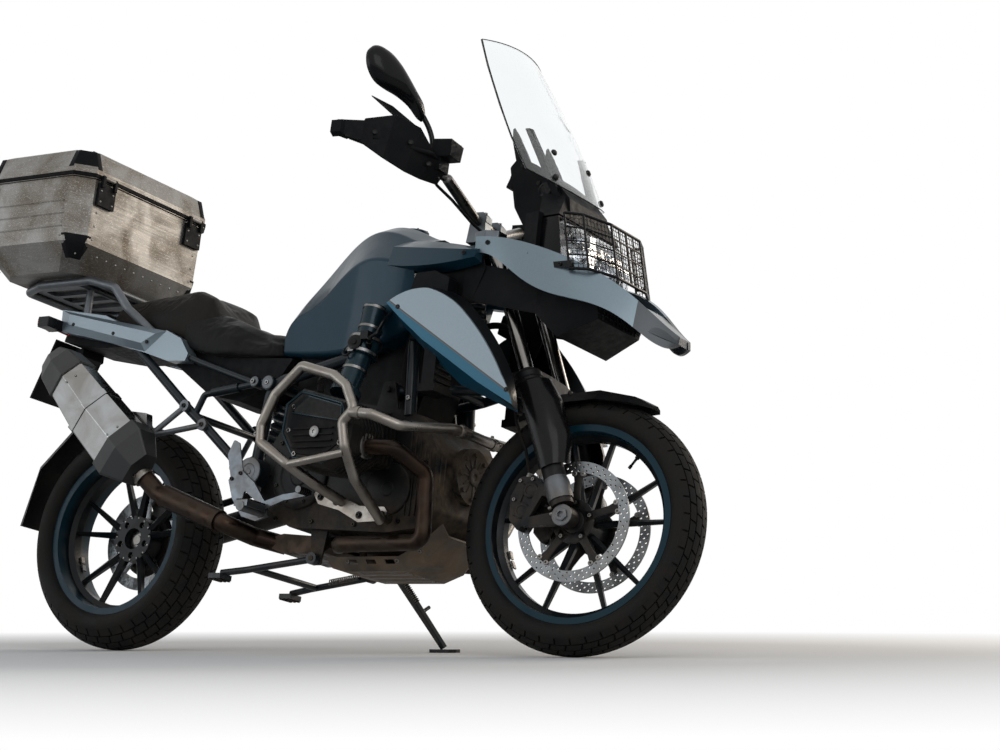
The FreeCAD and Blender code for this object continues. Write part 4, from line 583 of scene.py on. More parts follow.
# columns: inner and outer share of the half tread, share of the pitch that it is shifted by,
# share of the pitch that its outer side leads by, length in pitches
treadRows = [(0.0, 0.17, 0.0, 0.12, 1.0), (0.22, 0.5, 0.45, 0.2, 1.0),
             (0.55, 0.8, 0.1, 0.16, 1.0), (0.85, 1.13, 0.55, 0.05, 1.0)]


def makeTyre(name, settings):
    axleX, axleZ = settings["axle"]
    radius, half, edge = settings["radius"], settings["width"] / 2, settings["edge"]
    crown = settings["crown"]
    shoulder = half * 0.86
    drop = crown - math.sqrt(crown ** 2 - shoulder ** 2)
    flank = arcThrough((settings["half"] - 1, edge + 1.5), (half, (edge + radius) / 2 - 8),
                       (shoulder, radius - drop), 12)

    def surface(share, depth):
        if share > 1:
            y, reach = flank[12 - round((share - 1) * 20)]
        else:
            spin = math.asin(shoulder / crown) * share
            y, reach = crown * math.sin(spin), radius - crown + crown * math.cos(spin)
        tilt = math.asin(max(-1, min(1, y / crown)))
        return y - depth * math.sin(tilt), reach - depth * math.cos(tilt)

    profile = [(settings["half"] - 6, settings["bead"] + 2)] + flank[:11]
    profile += [surface(share / 10, treadDepth) for share in range(10, -11, -1)]
    profile += [(-y, reach) for y, reach in reversed(flank[:11])]
    profile += [(6 - settings["half"], settings["bead"] + 2)]
    vertices = []
    faces = []
    for step in range(tyreSteps):
        angle = math.tau * step / tyreSteps
        for y, reach in profile:
            vertices.append((axleX + reach * math.cos(angle), y, axleZ + reach * math.sin(angle)))
    count = len(profile)
    for step in range(tyreSteps):
        for index in range(count):
            nextStep, nextIndex = (step + 1) % tyreSteps, (index + 1) % count
            faces.append((step * count + index, step * count + nextIndex,
                          nextStep * count + nextIndex, nextStep * count + index))
    pitch = math.tau / settings["pitches"]
    gap = grooveWidth / radius
    for side in (-1, 1):
        for number in range(settings["pitches"]):
            for inner, outer, shift, lead, length in treadRows:
                start = pitch * (number + shift + (0.5 if side > 0 else 0.0))
                ring = []
                for depth, shrink in ((treadDepth + 1.5, 0.0), (0.0, 0.06)):
                    for column in range(4):
                        share = inner + (outer - inner) * column / 3
                        y, reach = surface(share, depth)
                        angleA = start + pitch * lead * column / 3 + gap / 2 + gap * shrink * 3
                        angleB = angleA + pitch * length - gap * (1 + shrink * 6)
                        for angle in (angleA, (angleA + angleB) / 2, angleB):
                            ring.append((axleX + reach * math.cos(angle), side * y,
                                         axleZ + reach * math.sin(angle)))
                base = len(vertices)
                vertices += ring
                for column in range(3):
                    for row in range(2):
                        low = base + column * 3 + row
                        faces.append((low + 12, low + 13, low + 16, low + 15))
                border = [0, 1, 2, 5, 8, 11, 10, 9, 6, 3]
                for first, second in zip(border, border[1:] + border[:1]):
                    faces.append((base + first, base + second, base + second + 12,
                                  base + first + 12))
    tyre = addMesh(name.replace("_tyre", "Tyre"), vertices, faces, "tyreRubber",
                   name.replace("_tyre", "_wheel"))
    sharpen(tyre.data, 38)
    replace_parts(tyre, name)


makeTyre("front_tyre", tyreSettings["front"])
makeTyre("rear_tyre", tyreSettings["rear"])
for node in frame["nodes"].values():
    sharpen(node.data, 28)
print("tyres ready")


# A growing list of corners and faces, in upright millimetres
class Shape:
    def __init__(self):
        self.vertices = []
        self.faces = []

    def add(self, vertices, faces):
        base = len(self.vertices)
        self.vertices += [tuple(vertex) for vertex in vertices]
        self.faces += [tuple(base + index for index in face) for face in faces]

    # Sections with as many corners each, joined one to the next
    def loft(self, sections, ring=False):
        count = len(sections[0])
        rows = len(sections)
        faces = []
        for row in range(rows if ring else rows - 1):
            after = (row + 1) % rows
            for index in range(count):
                beside = (index + 1) % count
                faces.append((row * count + index, row * count + beside,
                              after * count + beside, after * count + index))
        if not ring:
            faces.append(tuple(range(count)))
            faces.append(tuple(reversed(range((rows - 1) * count, rows * count))))
        self.add([corner for section in sections for corner in section], faces)

    # profile: distance along the line from start, radius there
    def spun(self, start, direction, profile, turns):
        start = Vector(start)
        along = Vector(direction).normalized()
        side = along.orthogonal().normalized()
        other = along.cross(side)
        sections = []
        for distance, radius in profile:
            middle = start + along * distance
            sections.append([middle + (side * math.cos(math.tau * step / turns)
                                       + other * math.sin(math.tau * step / turns)) * radius
                             for step in range(turns)])
        self.loft(sections)

    # A round bar along the points
    def tube(self, points, radius, turns, ring=False):
        points = [Vector(point) for point in points]
        count = len(points)
        sections = []
        side = None
        for index, point in enumerate(points):
            before = points[index - 1] if ring or index else point
            after = points[(index + 1) % count] if ring or index < count - 1 else point
            along = (after - before).normalized()
            if side is None:
                side = along.orthogonal()
            side = (side - along * side.dot(along)).normalized()
            other = along.cross(side)
            sections.append([point + side * radius * math.cos(math.tau * step / turns)
                             + other * radius * math.sin(math.tau * step / turns)
                             for step in range(turns)])
        self.loft(sections, ring)

    def box(self, low, high):
        (x0, y0, z0), (x1, y1, z1) = low, high
        self.loft([[(x0, y0, z0), (x1, y0, z0), (x1, y1, z0), (x0, y1, z0)],
                   [(x0, y0, z1), (x1, y0, z1), (x1, y1, z1), (x0, y1, z1)]])

    # Cap screw with its socket
    def bolt(self, place, direction, radius=5.0, height=5.0):
        self.spun(place, direction, [(-1, radius), (height * 0.75, radius),
                                     (height, radius * 0.86), (height, radius * 0.52),
                                     (height * 0.4, radius * 0.5)], 12)

    # Domed rivet
    def rivet(self, place, direction, radius=4.0):
        self.spun(place, direction, [(-0.5, radius), (0.5, radius), (radius * 0.35, radius * 0.8),
                                     (radius * 0.5, radius * 0.4), (radius * 0.55, 0.3)], 10)

    # Copies everything drawn so far to the other side
    def both(self):
        base = len(self.vertices)
        self.vertices += [(x, -y, z) for x, y, z in self.vertices]
        self.faces += [tuple(base + index for index in reversed(face)) for face in self.faces]

    def put(self, name, finish, slot, body="chassis", degrees=35, bevel=0.0):
        piece = addMesh(name, self.vertices, self.faces, finish, body)
        if bevel > 0:
            soften(piece, bevel)
        sharpen(piece.data, degrees)
        return piece


# Bevels a piece's edges for good
def soften(piece, width):
    modifier = piece.modifiers.new("edges", "BEVEL")
    modifier.width = width / 1000
    modifier.segments = 2
    modifier.limit_method = "ANGLE"
    modifier.angle_limit = math.radians(30)
    modifier.use_clamp_overlap = True
    finished(piece)


# Puts the result of a piece's modifiers into its mesh
def finished(piece):
    graph = bpy.context.evaluated_depsgraph_get()
    graph.update()
    mesh = bpy.data.meshes.new_from_object(piece.evaluated_get(graph))
    piece.modifiers.clear()
    piece.data = mesh
    for polygon in mesh.polygons:
        polygon.use_smooth = True


def between(start, end, share):
    return Vector(start).lerp(Vector(end), share)


# A smooth curve from the second of four points to the third
def curveSteps(p0, p1, p2, p3, steps):
    line = []
    for step in range(steps):
        t = step / steps
        line.append(0.5 * ((2 * p1) + (p2 - p0) * t + (2 * p0 - 5 * p1 + 4 * p2 - p3) * t ** 2
                           + (3 * p1 - p0 - 3 * p2 + p3) * t ** 3))
    return line


# A smooth line through the points, with steps between each two
def smoothLine(points, steps):
    points = [Vector(point) for point in points]
    line = []
    last = len(points) - 1
    for index in range(last):
        line += curveSteps(points[max(index - 1, 0)], points[index], points[index + 1],
                           points[min(index + 2, last)], steps)
    return line + [points[-1]]


def onRing(axle, radius, degrees, y):
    angle = math.radians(degrees)
    return (axle[0] + radius * math.cos(angle), y, axle[1] + radius * math.sin(angle))


# A brake disc cut through with rows of holes
def drilledDisc(shape, axle, outer, inner, near, far, rows, hole):
    points = []
    edges = []
    holes = []

    def loop(x, z, radius, count):
        base = len(points)
        for step in range(count):
            angle = math.tau * step / count
            points.append(Vector((x + radius * math.cos(angle), z + radius * math.sin(angle))))
            edges.append((base + step, base + (step + 1) % count))
        return list(range(base, base + count))

    centre = Vector(axle)
    loops = [loop(*axle, outer, 120), loop(*axle, inner, 90)]
    for radius, count, shift in rows:
        for number in range(count):
            angle = math.tau * (number + shift) / count
            x = axle[0] + radius * math.cos(angle)
            z = axle[1] + radius * math.sin(angle)
            loops.append(loop(x, z, hole, 8))
            holes.append(Vector((x, z)))
    found = geometry.delaunay_2d_cdt(points, edges, [], 0, 0.001)
    flat = found[0]
    kept = []
    for triangle in found[2]:
        middle = sum((flat[index] for index in triangle), Vector((0, 0))) / 3
        if (middle - centre).length < inner - 0.05 or (middle - centre).length > outer + 1:
            continue
        if any((middle - spot).length < hole * 0.93 for spot in holes):
            continue
        kept.append(tuple(triangle))
    count = len(flat)
    vertices = [(point.x, near, point.y) for point in flat]
    vertices += [(point.x, far, point.y) for point in flat]
    faces = list(kept)
    faces += [tuple(count + index for index in reversed(triangle)) for triangle in kept]
    for ring in loops:
        for first, second in zip(ring, ring[1:] + ring[:1]):
            faces.append((first, second, second + count, first + count))
    shape.add(vertices, faces)


brakeSettings = {
    "rows": [(129.5, 40, 0.0), (138.0, 40, 0.5), (146.0, 40, 0.0)],
    "hole": 2.7,
    "arms": 5,
    "rearRows": [(110, 36, 0.0), (119, 36, 0.5), (128, 36, 0.0)],
    "rearHole": 2.8,
}


# Front brake discs on black five-armed carriers
def makeFrontDiscs():
    discs = Shape()
    carriers = Shape()
    buttons = Shape()
    for y in (-61.0, 61.0):
        outward = 1 if y > 0 else -1
        drilledDisc(discs, frontAxle, 152.5, 124.5, y - 2.2, y + 2.2, brakeSettings["rows"],
                    brakeSettings["hole"])
        for arm in range(brakeSettings["arms"]):
            angle = 72 * arm + 18
            section = []
            for reach, half in ((34, 15), (70, 9.5), (100, 9.5), (124.4, 15)):
                lean = math.degrees(math.atan2(half, reach))
                section.append([onRing(frontAxle, math.hypot(reach, half), angle + turn * lean,
                                       y + side)
                                for turn, side in ((-1, -2.6), (1, -2.6), (1, 2.6), (-1, 2.6))])
            carriers.loft(section)
            for shift in (-5.5, 5.5):
                place = onRing(frontAxle, 121.0, angle + shift, y - outward * 3)
                buttons.spun(place, (0, outward, 0),
                             [(0, 7), (6.4, 7), (7.4, 5.6), (7.4, 3), (5.6, 3)], 16)
            buttons.bolt(onRing(frontAxle, 47.0, angle, y + outward * 2.6), (0, outward, 0),
                         5.5, 5)
        carriers.loft([[onRing(frontAxle, radius, step * 6, y + side)
                        for radius, side in ((56, -2.6), (56, 2.6), (31, 2.6), (31, -2.6))]
                       for step in range(60)], True)
    pieces = [discs.put("frontDiscRings", "discSteel", "disc_steel", "front_wheel"),
              carriers.put("frontDiscCarriers", "castBlack", "black_plastic", "front_wheel",
                           bevel=0.8),
              buttons.put("frontDiscButtons", "boltSteel", "disc_steel", "front_wheel")]
    for piece in pieces:
        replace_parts(piece, "front_discs")


def makeRearDisc():
    disc = Shape()
    drilledDisc(disc, rearAxle, 138, 104, 63.75, 68.25, brakeSettings["rearRows"],
                brakeSettings["rearHole"])
    disc.put("rearDiscRing", "discSteel", "disc_steel", "rear_wheel")


makeFrontDiscs()
makeRearDisc()
print("discs ready")


# Cushions: a closed form from rows of outlines, swollen by a cloth simulation under pressure
seatSettings = {
    "pressure": 4.0,
    "voxel": 0.006,
    "reach": 0.012,
    "frames": 20,
    "fill": 0.75,
    "heldBelow": 4.0,
}
seatUp = upright.to_3x3().normalized() @ Vector((0, 0, 1))


# One station's numbers at a share of the way from the first station to the last
def sectionAt(stations, share):
    place = share * (len(stations) - 1)
    index = min(int(place), len(stations) - 2)
    return [first + (second - first) * (place - index)
            for first, second in zip(stations[index], stations[index + 1])]


# columns of the stations: x, floor z, half width low, top z, half width high
def makeCushion(name, node, stations, finish, inset, crown, seams):
    shape = Shape()
    sections = []
    count = 24
    for step in range(count + 1):
        x, floor, low, top, high = sectionAt(stations, step / count)
        ending = min(step, count - step) / count
        pull = max(0.0, 1 - ending * 9) ** 2 * 10
        low, high, top = low - inset - pull, high - inset - pull, top - inset - pull * 0.8
        floor += 1
        x += inset if step == 0 else -inset if step == count else 0
        waist = (floor + top) / 2 + 6
        side = [(low - 3, floor), (low, floor + 10), (low + 3, waist), (high + 5, top - 16),
                (high, top - 5), (high * 0.8, top), (high * 0.4, top - crown * 0.5),
                (0, top - crown)]
        sections.append([(x, -y, z) for y, z in side]
                        + [(x, y, z) for y, z in reversed(side[:-1])])
    shape.loft(sections)
    piece = addMesh(name, shape.vertices, shape.faces, finish, "chassis")
    remesh = piece.modifiers.new("even", "REMESH")
    remesh.mode = "VOXEL"
    remesh.voxel_size = seatSettings["voxel"]
    finished(piece)
    rest = [vertex.co.copy() for vertex in piece.data.vertices]
    held = piece.vertex_groups.new(name="held")
    lowest = min(station[1] for station in stations) + seatSettings["heldBelow"]
    for vertex in piece.data.vertices:
        local = fromUpright @ vertex.co
        if local.z < lowest or vertex.normal.dot(seatUp) < -0.75:
            held.add([vertex.index], 1.0, "REPLACE")
    cloth = piece.modifiers.new("cloth", "CLOTH")
    cloth.settings.use_pressure = True
    cloth.settings.uniform_pressure_force = seatSettings["pressure"]
    cloth.settings.vertex_group_mass = "held"
    cloth.settings.effector_weights.gravity = 0
    cloth.settings.quality = 4
    cloth.settings.tension_stiffness = 25
    cloth.settings.compression_stiffness = 25
    cloth.settings.bending_stiffness = 2
    cloth.point_cache.frame_start = 1
    cloth.point_cache.frame_end = seatSettings["frames"]
    for step in range(1, seatSettings["frames"] + 1):
        bpy.context.scene.frame_set(step)
    finished(piece)
    bpy.context.scene.frame_set(1)
    for vertex, start in zip(piece.data.vertices, rest):
        moved = vertex.co - start
        if moved.length > seatSettings["reach"]:
            vertex.co = start + moved.normalized() * seatSettings["reach"]
    cutSeams(piece, seams)
    divide = piece.modifiers.new("fine", "SUBSURF")
    divide.levels = 1
    divide.render_levels = 1
    finished(piece)
    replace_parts(piece, node)


# Presses a narrow channel into the cover along each seam, a plane given by a point and a normal
def cutSeams(piece, seams):
    for vertex in piece.data.vertices:
        local = fromUpright @ vertex.co
        if vertex.normal.dot(seatUp) < -0.5:
            continue
        for point, normal, width, depth in seams:
            away = abs((local - Vector(point)).dot(Vector(normal).normalized()))
            if away < width:
                vertex.co -= vertex.normal * depth / 1000 * (1 - away / width) ** 2


riderStations = [(206, 838, 132, 934, 118), (270, 812, 138, 930, 122),
                 (336, 796, 140, 916, 120), (400, 794, 142, 890, 126), (480, 788, 126, 856, 106),
                 (554, 790, 96, 858, 78)]
pillionStations = [(-104, 880, 96, 984, 84), (60, 866, 116, 996, 104), (230, 852, 126, 1004, 110),
                   (284, 852, 122, 984, 104), (318, 852, 114, 916, 98)]
makeCushion("riderSeat", "rider_seat", riderStations, "seatCover", 5, 6,
            [((0, 96, 0), (0, 1, 0.12), 7, 2.2), ((0, -96, 0), (0, -1, 0.12), 7, 2.2),
             ((300, 0, 0), (1, 0, 0.3), 7, 1.8)])
makeCushion("pillionSeat", "pillion_seat", pillionStations, "pillionCover", 5, 5,
            [((0, 88, 0), (0, 1, 0.1), 7, 2.2), ((0, -88, 0), (0, -1, 0.1), 7, 2.2),
             ((262, 0, 0), (1, 0, 0.25), 7, 2.0)])
print("seats ready")


# Headlight: black housing, two reflector bowls and a clear faceted lens
headlightSettings = {
    "housing": [(1380, 150, 946, 1380, 150, 1092), (1470, 155, 946, 1441, 149, 1096),
                (1466, 148, 952, 1438, 143, 1090), (1416, 142, 956, 1404, 138, 1084)],
    "bowls": [(-72.0, 1020.0, 46.0), (72.0, 1020.0, 46.0)],
    "wall": 3.0,
}


def makeHeadlight():
    housing = Shape()
    housing.loft([[(lowX, -lowY, floor), (lowX, lowY, floor), (x, y, top), (x, -y, top)]
                  for lowX, lowY, floor, x, y, top in headlightSettings["housing"]])
    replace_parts(housing.put("lampHousing", "smoothBlack", "black_plastic", bevel=1.5), "headlight")
    bowls = Shape()
    facing = Vector((1, 0, 0.04))
    for y, z, radius in headlightSettings["bowls"]:
        start = Vector((1410, y, z))
        bowls.spun(start, facing, [(0, 12), (6, 22), (16, 34), (30, radius - 4), (44, radius),
                                   (46, radius + 5), (40, radius + 6), (26, radius - 2),
                                   (10, 36), (-2, 26)], 40)
        bowls.spun(start + facing * 2, facing, [(0, 9), (16, 9), (20, 7), (21, 1)], 20)
    bowls.box((1418, -14, 962), (1452, 14, 1080))
    bowls.put("lampBowls", "lampChrome", "lamp_clear")
    lens = Shape()
    vertices = []
    for row in range(11):
        edge = between((1465, -148, 952), (1436, -144, 1090), row / 10)
        bulge = math.sin(math.pi * row / 10) ** 0.5 if 0 < row < 10 else 0.0
        for column in range(17):
            wide = column / 8 - 1
            front = 52 * (1 - abs(wide) ** 6) ** 0.5 - 1.2 * (column % 2)
            vertices.append((edge.x + front * bulge, -edge.y * wide, edge.z))
    starts = [row * 17 + column for row in range(10) for column in range(16)]
    lens.add(vertices, [(base, base + 1, base + 18, base + 17) for base in starts])
    piece = lens.put("lampLens", "lensClear", "lamp_clear")
    thick = piece.modifiers.new("wall", "SOLIDIFY")
    thick.thickness = headlightSettings["wall"] / 1000
    thick.offset = 0.0
    finished(piece)
    sharpen(piece.data, 4)


makeHeadlight()


# Expanded wire mesh between the guard's tubes
meshSettings = {"rows": 11, "pitch": 11.0, "wire": 0.9, "wave": 2.2}


def makeGuardMesh():
    lower = [(1500, -168, 946), (1546, -150, 946), (1582, -70, 944)]
    upper = [(1466, -164, 1096), (1512, -146, 1092), (1548, -70, 1086)]
    lower += [(x, -y, z) for x, y, z in reversed(lower)]
    upper += [(x, -y, z) for x, y, z in reversed(upper)]
    wires = Shape()
    radius = meshSettings["wire"]
    rows = meshSettings["rows"]
    for index in range(len(lower) - 1):
        a, b, c, d = (Vector(spot) for spot in lower[index:index + 2] + upper[index:index + 2])
        up = (c - a).normalized() * meshSettings["wave"]
        columns = max(3, round((b - a).length / meshSettings["pitch"]))
        for row in range(1, rows):
            start, end = a.lerp(c, row / rows), b.lerp(d, row / rows)
            wires.tube([start.lerp(end, step / (columns * 2)) + up * (1 if (step + row) % 2 else -1)
                        for step in range(columns * 2 + 1)], radius, 5)
        for column in range(1, columns):
            share = column / columns
            wires.tube([a.lerp(b, share), c.lerp(d, share)], radius, 5)
    wires.put("lampMesh", "smoothBlack", "black_plastic", degrees=80)


makeGuardMesh()
print("headlight ready")


# Luggage case: corner caps, ribs and rivets
caseSettings = {
    "corner": 47.0, "back": -505.0, "front": -101.0, "half": 280.0,
    "floor": 1050.0, "waist": 1124.0, "rim": 1314.0, "top": 1405.0,
    "floorInset": 58.0, "waistInset": 4.0, "topInset": 21.0, "lidSide": 27.0, "capWall": 3.0,
    "rivets": [1140, 1180, 1220, 1260, 1298], "ribs": [1168, 1206, 1244],
}


def makeCase():
    c = caseSettings
    caps = Shape()
    lidCaps = Shape()
    rivets = Shape()
    ribs = Shape()
    edge = [(-0.35, 1.0), (0.0, 1.0), (1.0, 0.0), (1.0, -0.35)]
    ways = [(px, py, 0) for px, py in edge] + [(px, py, c["capWall"]) for px, py in edge[::-1]]
    for side in (-1, 1):
        y = side * (c["half"] - c["corner"])
        for cornerX, way in ((c["back"], -1), (c["front"], 1)):
            x = cornerX - way * c["corner"]
            for shape, low, high, grow in ((caps, c["floor"] + 30, c["waist"] + 22, 1.6),
                                           (lidCaps, c["top"] - 62, c["top"] - 8, 6.6)):
                sections = []
                for z in (low, (low + high) / 2, high):
                    out = grow - insetAt(z)
                    sections.append([(x + way * (px * c["corner"] + (out - wall) * (px > 0)),
                                      y + side * (py * c["corner"] + (out - wall) * (py > 0)), z)
                                     for px, py, wall in ways])
                shape.loft(sections)
            for z in c["rivets"]:
                inset = insetAt(z)
                rivets.rivet((x - way * 22, side * (c["half"] - inset), z), (0, side, 0), 3.6)
                rivets.rivet((cornerX - way * inset, y - side * 22, z), (way, 0, 0), 3.6)
        for z in c["ribs"]:
            ribs.loft([[(x, side * (c["half"] - insetAt(z) + out), z + rise)
                        for out, rise in ((-1, -5), (1.5, 0), (-1, 5))] for x in (-440, -166)])
    caps.put("caseCorners", "blackPlastic", "black_plastic", bevel=1.2)
    lidCaps.put("lidCorners", "blackPlastic", "black_plastic", "case_lid", bevel=1.2)
    rivets.put("caseRivets", "boltSteel", "case_metal")
    ribs.put("caseRibs", "caseSheet", "case_metal")


# How far the case's wall lies inside its widest outline at a height
def insetAt(z):
    c = caseSettings
    lidBend = c["rim"] + c["lidSide"]
    if z < c["waist"]:
        share = (z - c["floor"]) / (c["waist"] - c["floor"])
        return c["floorInset"] + (c["waistInset"] - c["floorInset"]) * share
    if z < c["rim"]:
        return c["waistInset"] * (1 - (z - c["waist"]) / (c["rim"] - c["waist"]))
    if z < lidBend:
        return 0.0
    return c["topInset"] * (z - lidBend) / (c["top"] - 8 - lidBend)


makeCase()
print("case ready")


# Engine: side cover screws, ribs, and the round covers of the sides and the front
engineSettings = {
    "half": 140.0,
    "coverScrews": [(640, 332), (760, 322), (900, 312), (1040, 318), (1106, 372), (1108, 470),
                    (1072, 566), (968, 596), (820, 618), (706, 602), (630, 536), (598, 450)],
    "headOutline": [(802, 500), (806, 585), (858, 622), (1008, 582), (1034, 522), (1028, 452),
                    (962, 408), (852, 424)],
    "headMiddle": (918, 512),
    "headFace": 370.0,
    "headFins": 6,
}


# The head's outline shrunk to a share of its size, at a distance from the middle
def headRow(share, y):
    cx, cz = engineSettings["headMiddle"]
    return [(cx + (x - cx) * share, y, cz + (z - cz) * share)
            for x, z in engineSettings["headOutline"]]


def makeEngineDetails():
    half = engineSettings["half"]
    screws = Shape()
    casting = Shape()
    for side in (-1, 1):
        for x, z in engineSettings["coverScrews"]:
            screws.bolt((x, side * half, z), (0, side, 0), 6.0, 6.0)
        for x in range(1056, 1136, 16):
            casting.loft([[(x - 2.5, side * (half - 1), z), (x + 2.5, side * (half - 1), z),
                           (x + 1.5, side * (half + 4), z), (x - 1.5, side * (half + 4), z)]
                          for z in (332, 556 - (x - 1056) * 0.9)])
        casting.spun((706, side * (half - 1), 446), (0, side, 0),
                     [(0, 92), (8, 90), (10, 86), (10, 62), (7, 58), (7, 30), (10, 26), (10, 1)], 48)
        casting.spun((1000, side * (half - 1), 402), (0, side, 0),
                     [(0, 70), (7, 68), (9, 64), (9, 20), (12, 18), (12, 1)], 40)
        for step in range(8):
            place = onRing((706, 446), 76.0, step * 45 + 20, side * (half + 9))
            screws.bolt(place, (0, side, 0), 5.0, 4.0)
        for z in (596, 606):
            casting.loft([[(720, y, z), (980, y, z - 6), (980, y, z - 2), (720, y, z + 4)]
                          for y in (side * (half - 22), side * (half + 3))])
    for angle in range(0, 360, 30):
        spokes = [onRing((0, 460), reach, angle, 1159) for reach in (24, 50)]
        casting.tube([(x, y, z) for y, x, z in spokes], 3.2, 6)
    casting.spun((1158, 0, 460), (1, 0, 0), [(0, 24), (5, 23), (6, 20), (6, 9), (4, 8)], 32)
    for y in range(-118, 119, 20):
        if abs(y) > 78:
            casting.tube([(1138, y, 366), (1139, y, 430), (1138, y, 498)], 3.0, 6)
    casting.put("engineCastings", "engineCast", "engine_metal", bevel=0.8)
    screws.put("engineScrews", "boltBlack", "engine_metal")


# Cylinder heads: rims, panels, bolts, fins and plug leads
def makeHeadDetails():
    face = engineSettings["headFace"]
    rims = Shape()
    panels = Shape()
    bolts = Shape()
    fins = Shape()
    rims.tube(headRow(0.865, -face + 2), 4.2, 10, ring=True)
    rims.tube([(845, -face - 3, 553), (892, -face - 3, 594), (1000, -face - 3, 564),
               (1003, -face - 3, 526), (930, -face - 3, 538)], 2.6, 8, ring=True)
    panels.loft([headRow(0.76, -face + 1), headRow(0.74, -face - 3), headRow(0.66, -face - 3),
                 headRow(0.62, -face - 0.5)])
    for z in (462, 478, 494, 510):
        panels.loft([[(854, y, z - 2), (980, y, z - 2), (980, y, z + 2), (854, y, z + 2)]
                     for y in (-face + 1, -face - 4.5)])
    for x, z in ((838, 508), (846, 568), (990, 560), (1004, 470), (956, 432), (864, 446)):
        bolts.bolt((x, -face + 5, z), (0, -1, 0), 7.0, 8.0)
        bolts.spun((x, -face + 6, z), (0, -1, 0), [(0, 10), (2.2, 10), (2.2, 6)], 16)
    bolts.spun((924, -face - 2, 500), (0, -1, 0), [(0, 15), (5, 14.5), (6, 12), (6, 5), (4, 4)], 28)
    for number in range(engineSettings["headFins"]):
        y = -240 - number * 14
        fins.loft([headRow(1.028, y), headRow(1.028, y - 4)])
    for z in (462, 494):
        bolts.bolt((1030, -290, z), (1, 0, 0), 5.0, 7.0)
    bolts.spun((1026, -289, 478), (1, 0, -0.02), [(0, 33), (7, 33), (8, 30), (8, 22)], 30)
    wires = Shape()
    wires.tube(smoothLine([(900, -face + 30, 626), (896, -face + 24, 640), (880, -300, 668),
                           (860, -230, 690), (850, -150, 720)], 8), 4.0, 8)
    wires.spun((900, -face + 30, 612), (0, -0.1, 1), [(0, 9), (18, 9), (20, 6), (24, 6)], 16)
    for shape, name, finish, slot in ((rims, "headRims", "coverPaint", "engine_metal"),
                                      (panels, "headPanels", "blackPlastic", "black_plastic"),
                                      (bolts, "headBolts", "boltSteel", "engine_metal"),
                                      (fins, "headFins", "finCast", "fin_metal"),
                                      (wires, "plugLeads", "rubberBlack", "hose_rubber")):
        shape.both()
        shape.put(name, finish, slot)


makeEngineDetails()
makeHeadDetails()
print("engine ready")


# Throttle bodies: clamps, injector, cable wheel and fuel line
def makeIntakeDetails():
    clamps = Shape()
    black = Shape()
    radius = 41.5
    for x, y, z in ((920, -219, 741), (922, -209, 780)):
        clamps.spun((x, y, z - 4), (0.04, 0.22, 1), [(0, radius), (0, radius + 1.6),
                                                     (8, radius + 1.6), (8, radius)], 40)
        clamps.bolt((x - 8, y - radius - 3, z), (1, 0, 0), 3.6, 16)
    for x, y, z in ((917, -236, 694), (925, -201, 812), (929, -196, 866)):
        clamps.spun((x, y, z - 3), (0.04, 0.25, 1), [(0, 31), (0, 32.4), (7, 32.4), (7, 31)], 36)
    black.spun((924, -252, 764), (0.1, -1, 0.1), [(0, 20), (8, 20), (9, 17), (9, 8), (12, 7)], 28)
    black.spun((952, -232, 756), (0.5, -0.7, 0.5), [(0, 8), (20, 8), (22, 6), (34, 6), (36, 4)], 18)
    black.box((940, -258, 772), (964, -238, 794))
    black.tube(smoothLine([(968, -252, 776), (984, -246, 790), (980, -222, 822), (968, -190, 850),
                           (960, -160, 870)], 8), 4.2, 8)
    black.tube(smoothLine([(924, -262, 748), (908, -262, 730), (876, -240, 742), (850, -196, 770),
                           (840, -150, 796)], 8), 3.0, 8)
    clamps.both()
    black.both()
    clamps.put("intakeClamps", "boltSteel", "guard_steel")
    black.put("intakeFittings", "smoothBlack", "black_plastic")


# Crash bars: sleeves with bolts where the tubes are joined, and the screws of the foot plate
def makeCrashBarDetails():
    sleeves = Shape()
    bolts = Shape()
    for start, end in (((1050, -394, 540), (1076, -392, 537.5)),
                       ((1222, -172, 539.5), (1227, -152, 538.3))):
        run = Vector(end) - Vector(start)
        sleeves.spun(start, run, [(0, 13.6), (0, 16), (run.length, 16), (run.length, 13.6)], 28)
        middle = (Vector(start) + Vector(end)) / 2
        bolts.bolt(middle + Vector((0, 0, 13)), (0, 0, 1), 4.5, 7)
    for x, z in ((832, 372), (884, 358), (962, 322), (1034, 322)):
        bolts.spun((x, -203.5, z), (0, -1, 0), [(0, 10), (2, 10), (2, 6)], 18)
        bolts.bolt((x, -205, z), (0, -1, 0), 6.5, 6)
    sleeves.both()
    bolts.both()
    sleeves.put("barSleeves", "guardSteel", "guard_steel", bevel=0.8)
    bolts.put("barBolts", "boltBlack", "guard_steel")
    joint = Shape()
    joint.spun((1207, -9, 545), (0, 1, 0), [(0, 13.6), (0, 17), (18, 17), (18, 13.6)], 28)
    joint.bolt((1207, -3, 560), (0, 0, 1), 4.5, 7)
    joint.put("barJoint", "guardSteel", "guard_steel")


# Skid plate: bolts of the sides and the floor, and three ribs under it
def makeSkidDetails():
    bolts = Shape()
    for side in (-1, 1):
        for x, y, z in ((868, 106, 224), (1030, 110, 224), (1096, 108, 248)):
            bolts.bolt((x, side * y, z), (0, side, -0.6), 6.0, 4.5)
    for x in (880, 1030):
        for y in (-60, 60):
            bolts.bolt((x, y, 201), (0, 0, -1), 7.0, 3.0)
    bolts.put("skidBolts", "boltSteel", "plate_metal")
    ribs = Shape()
    for y in (-46, 0, 46):
        ribs.loft([[(x, y - 7, 201), (x, y + 7, 201), (x, y + 4, 197.5), (x, y - 4, 197.5)]
                   for x in (866, 1036)])
    ribs.put("skidRibs", "plateAlloy", "plate_metal")


makeIntakeDetails()
makeCrashBarDetails()
makeSkidDetails()
print("intakes and guards ready")


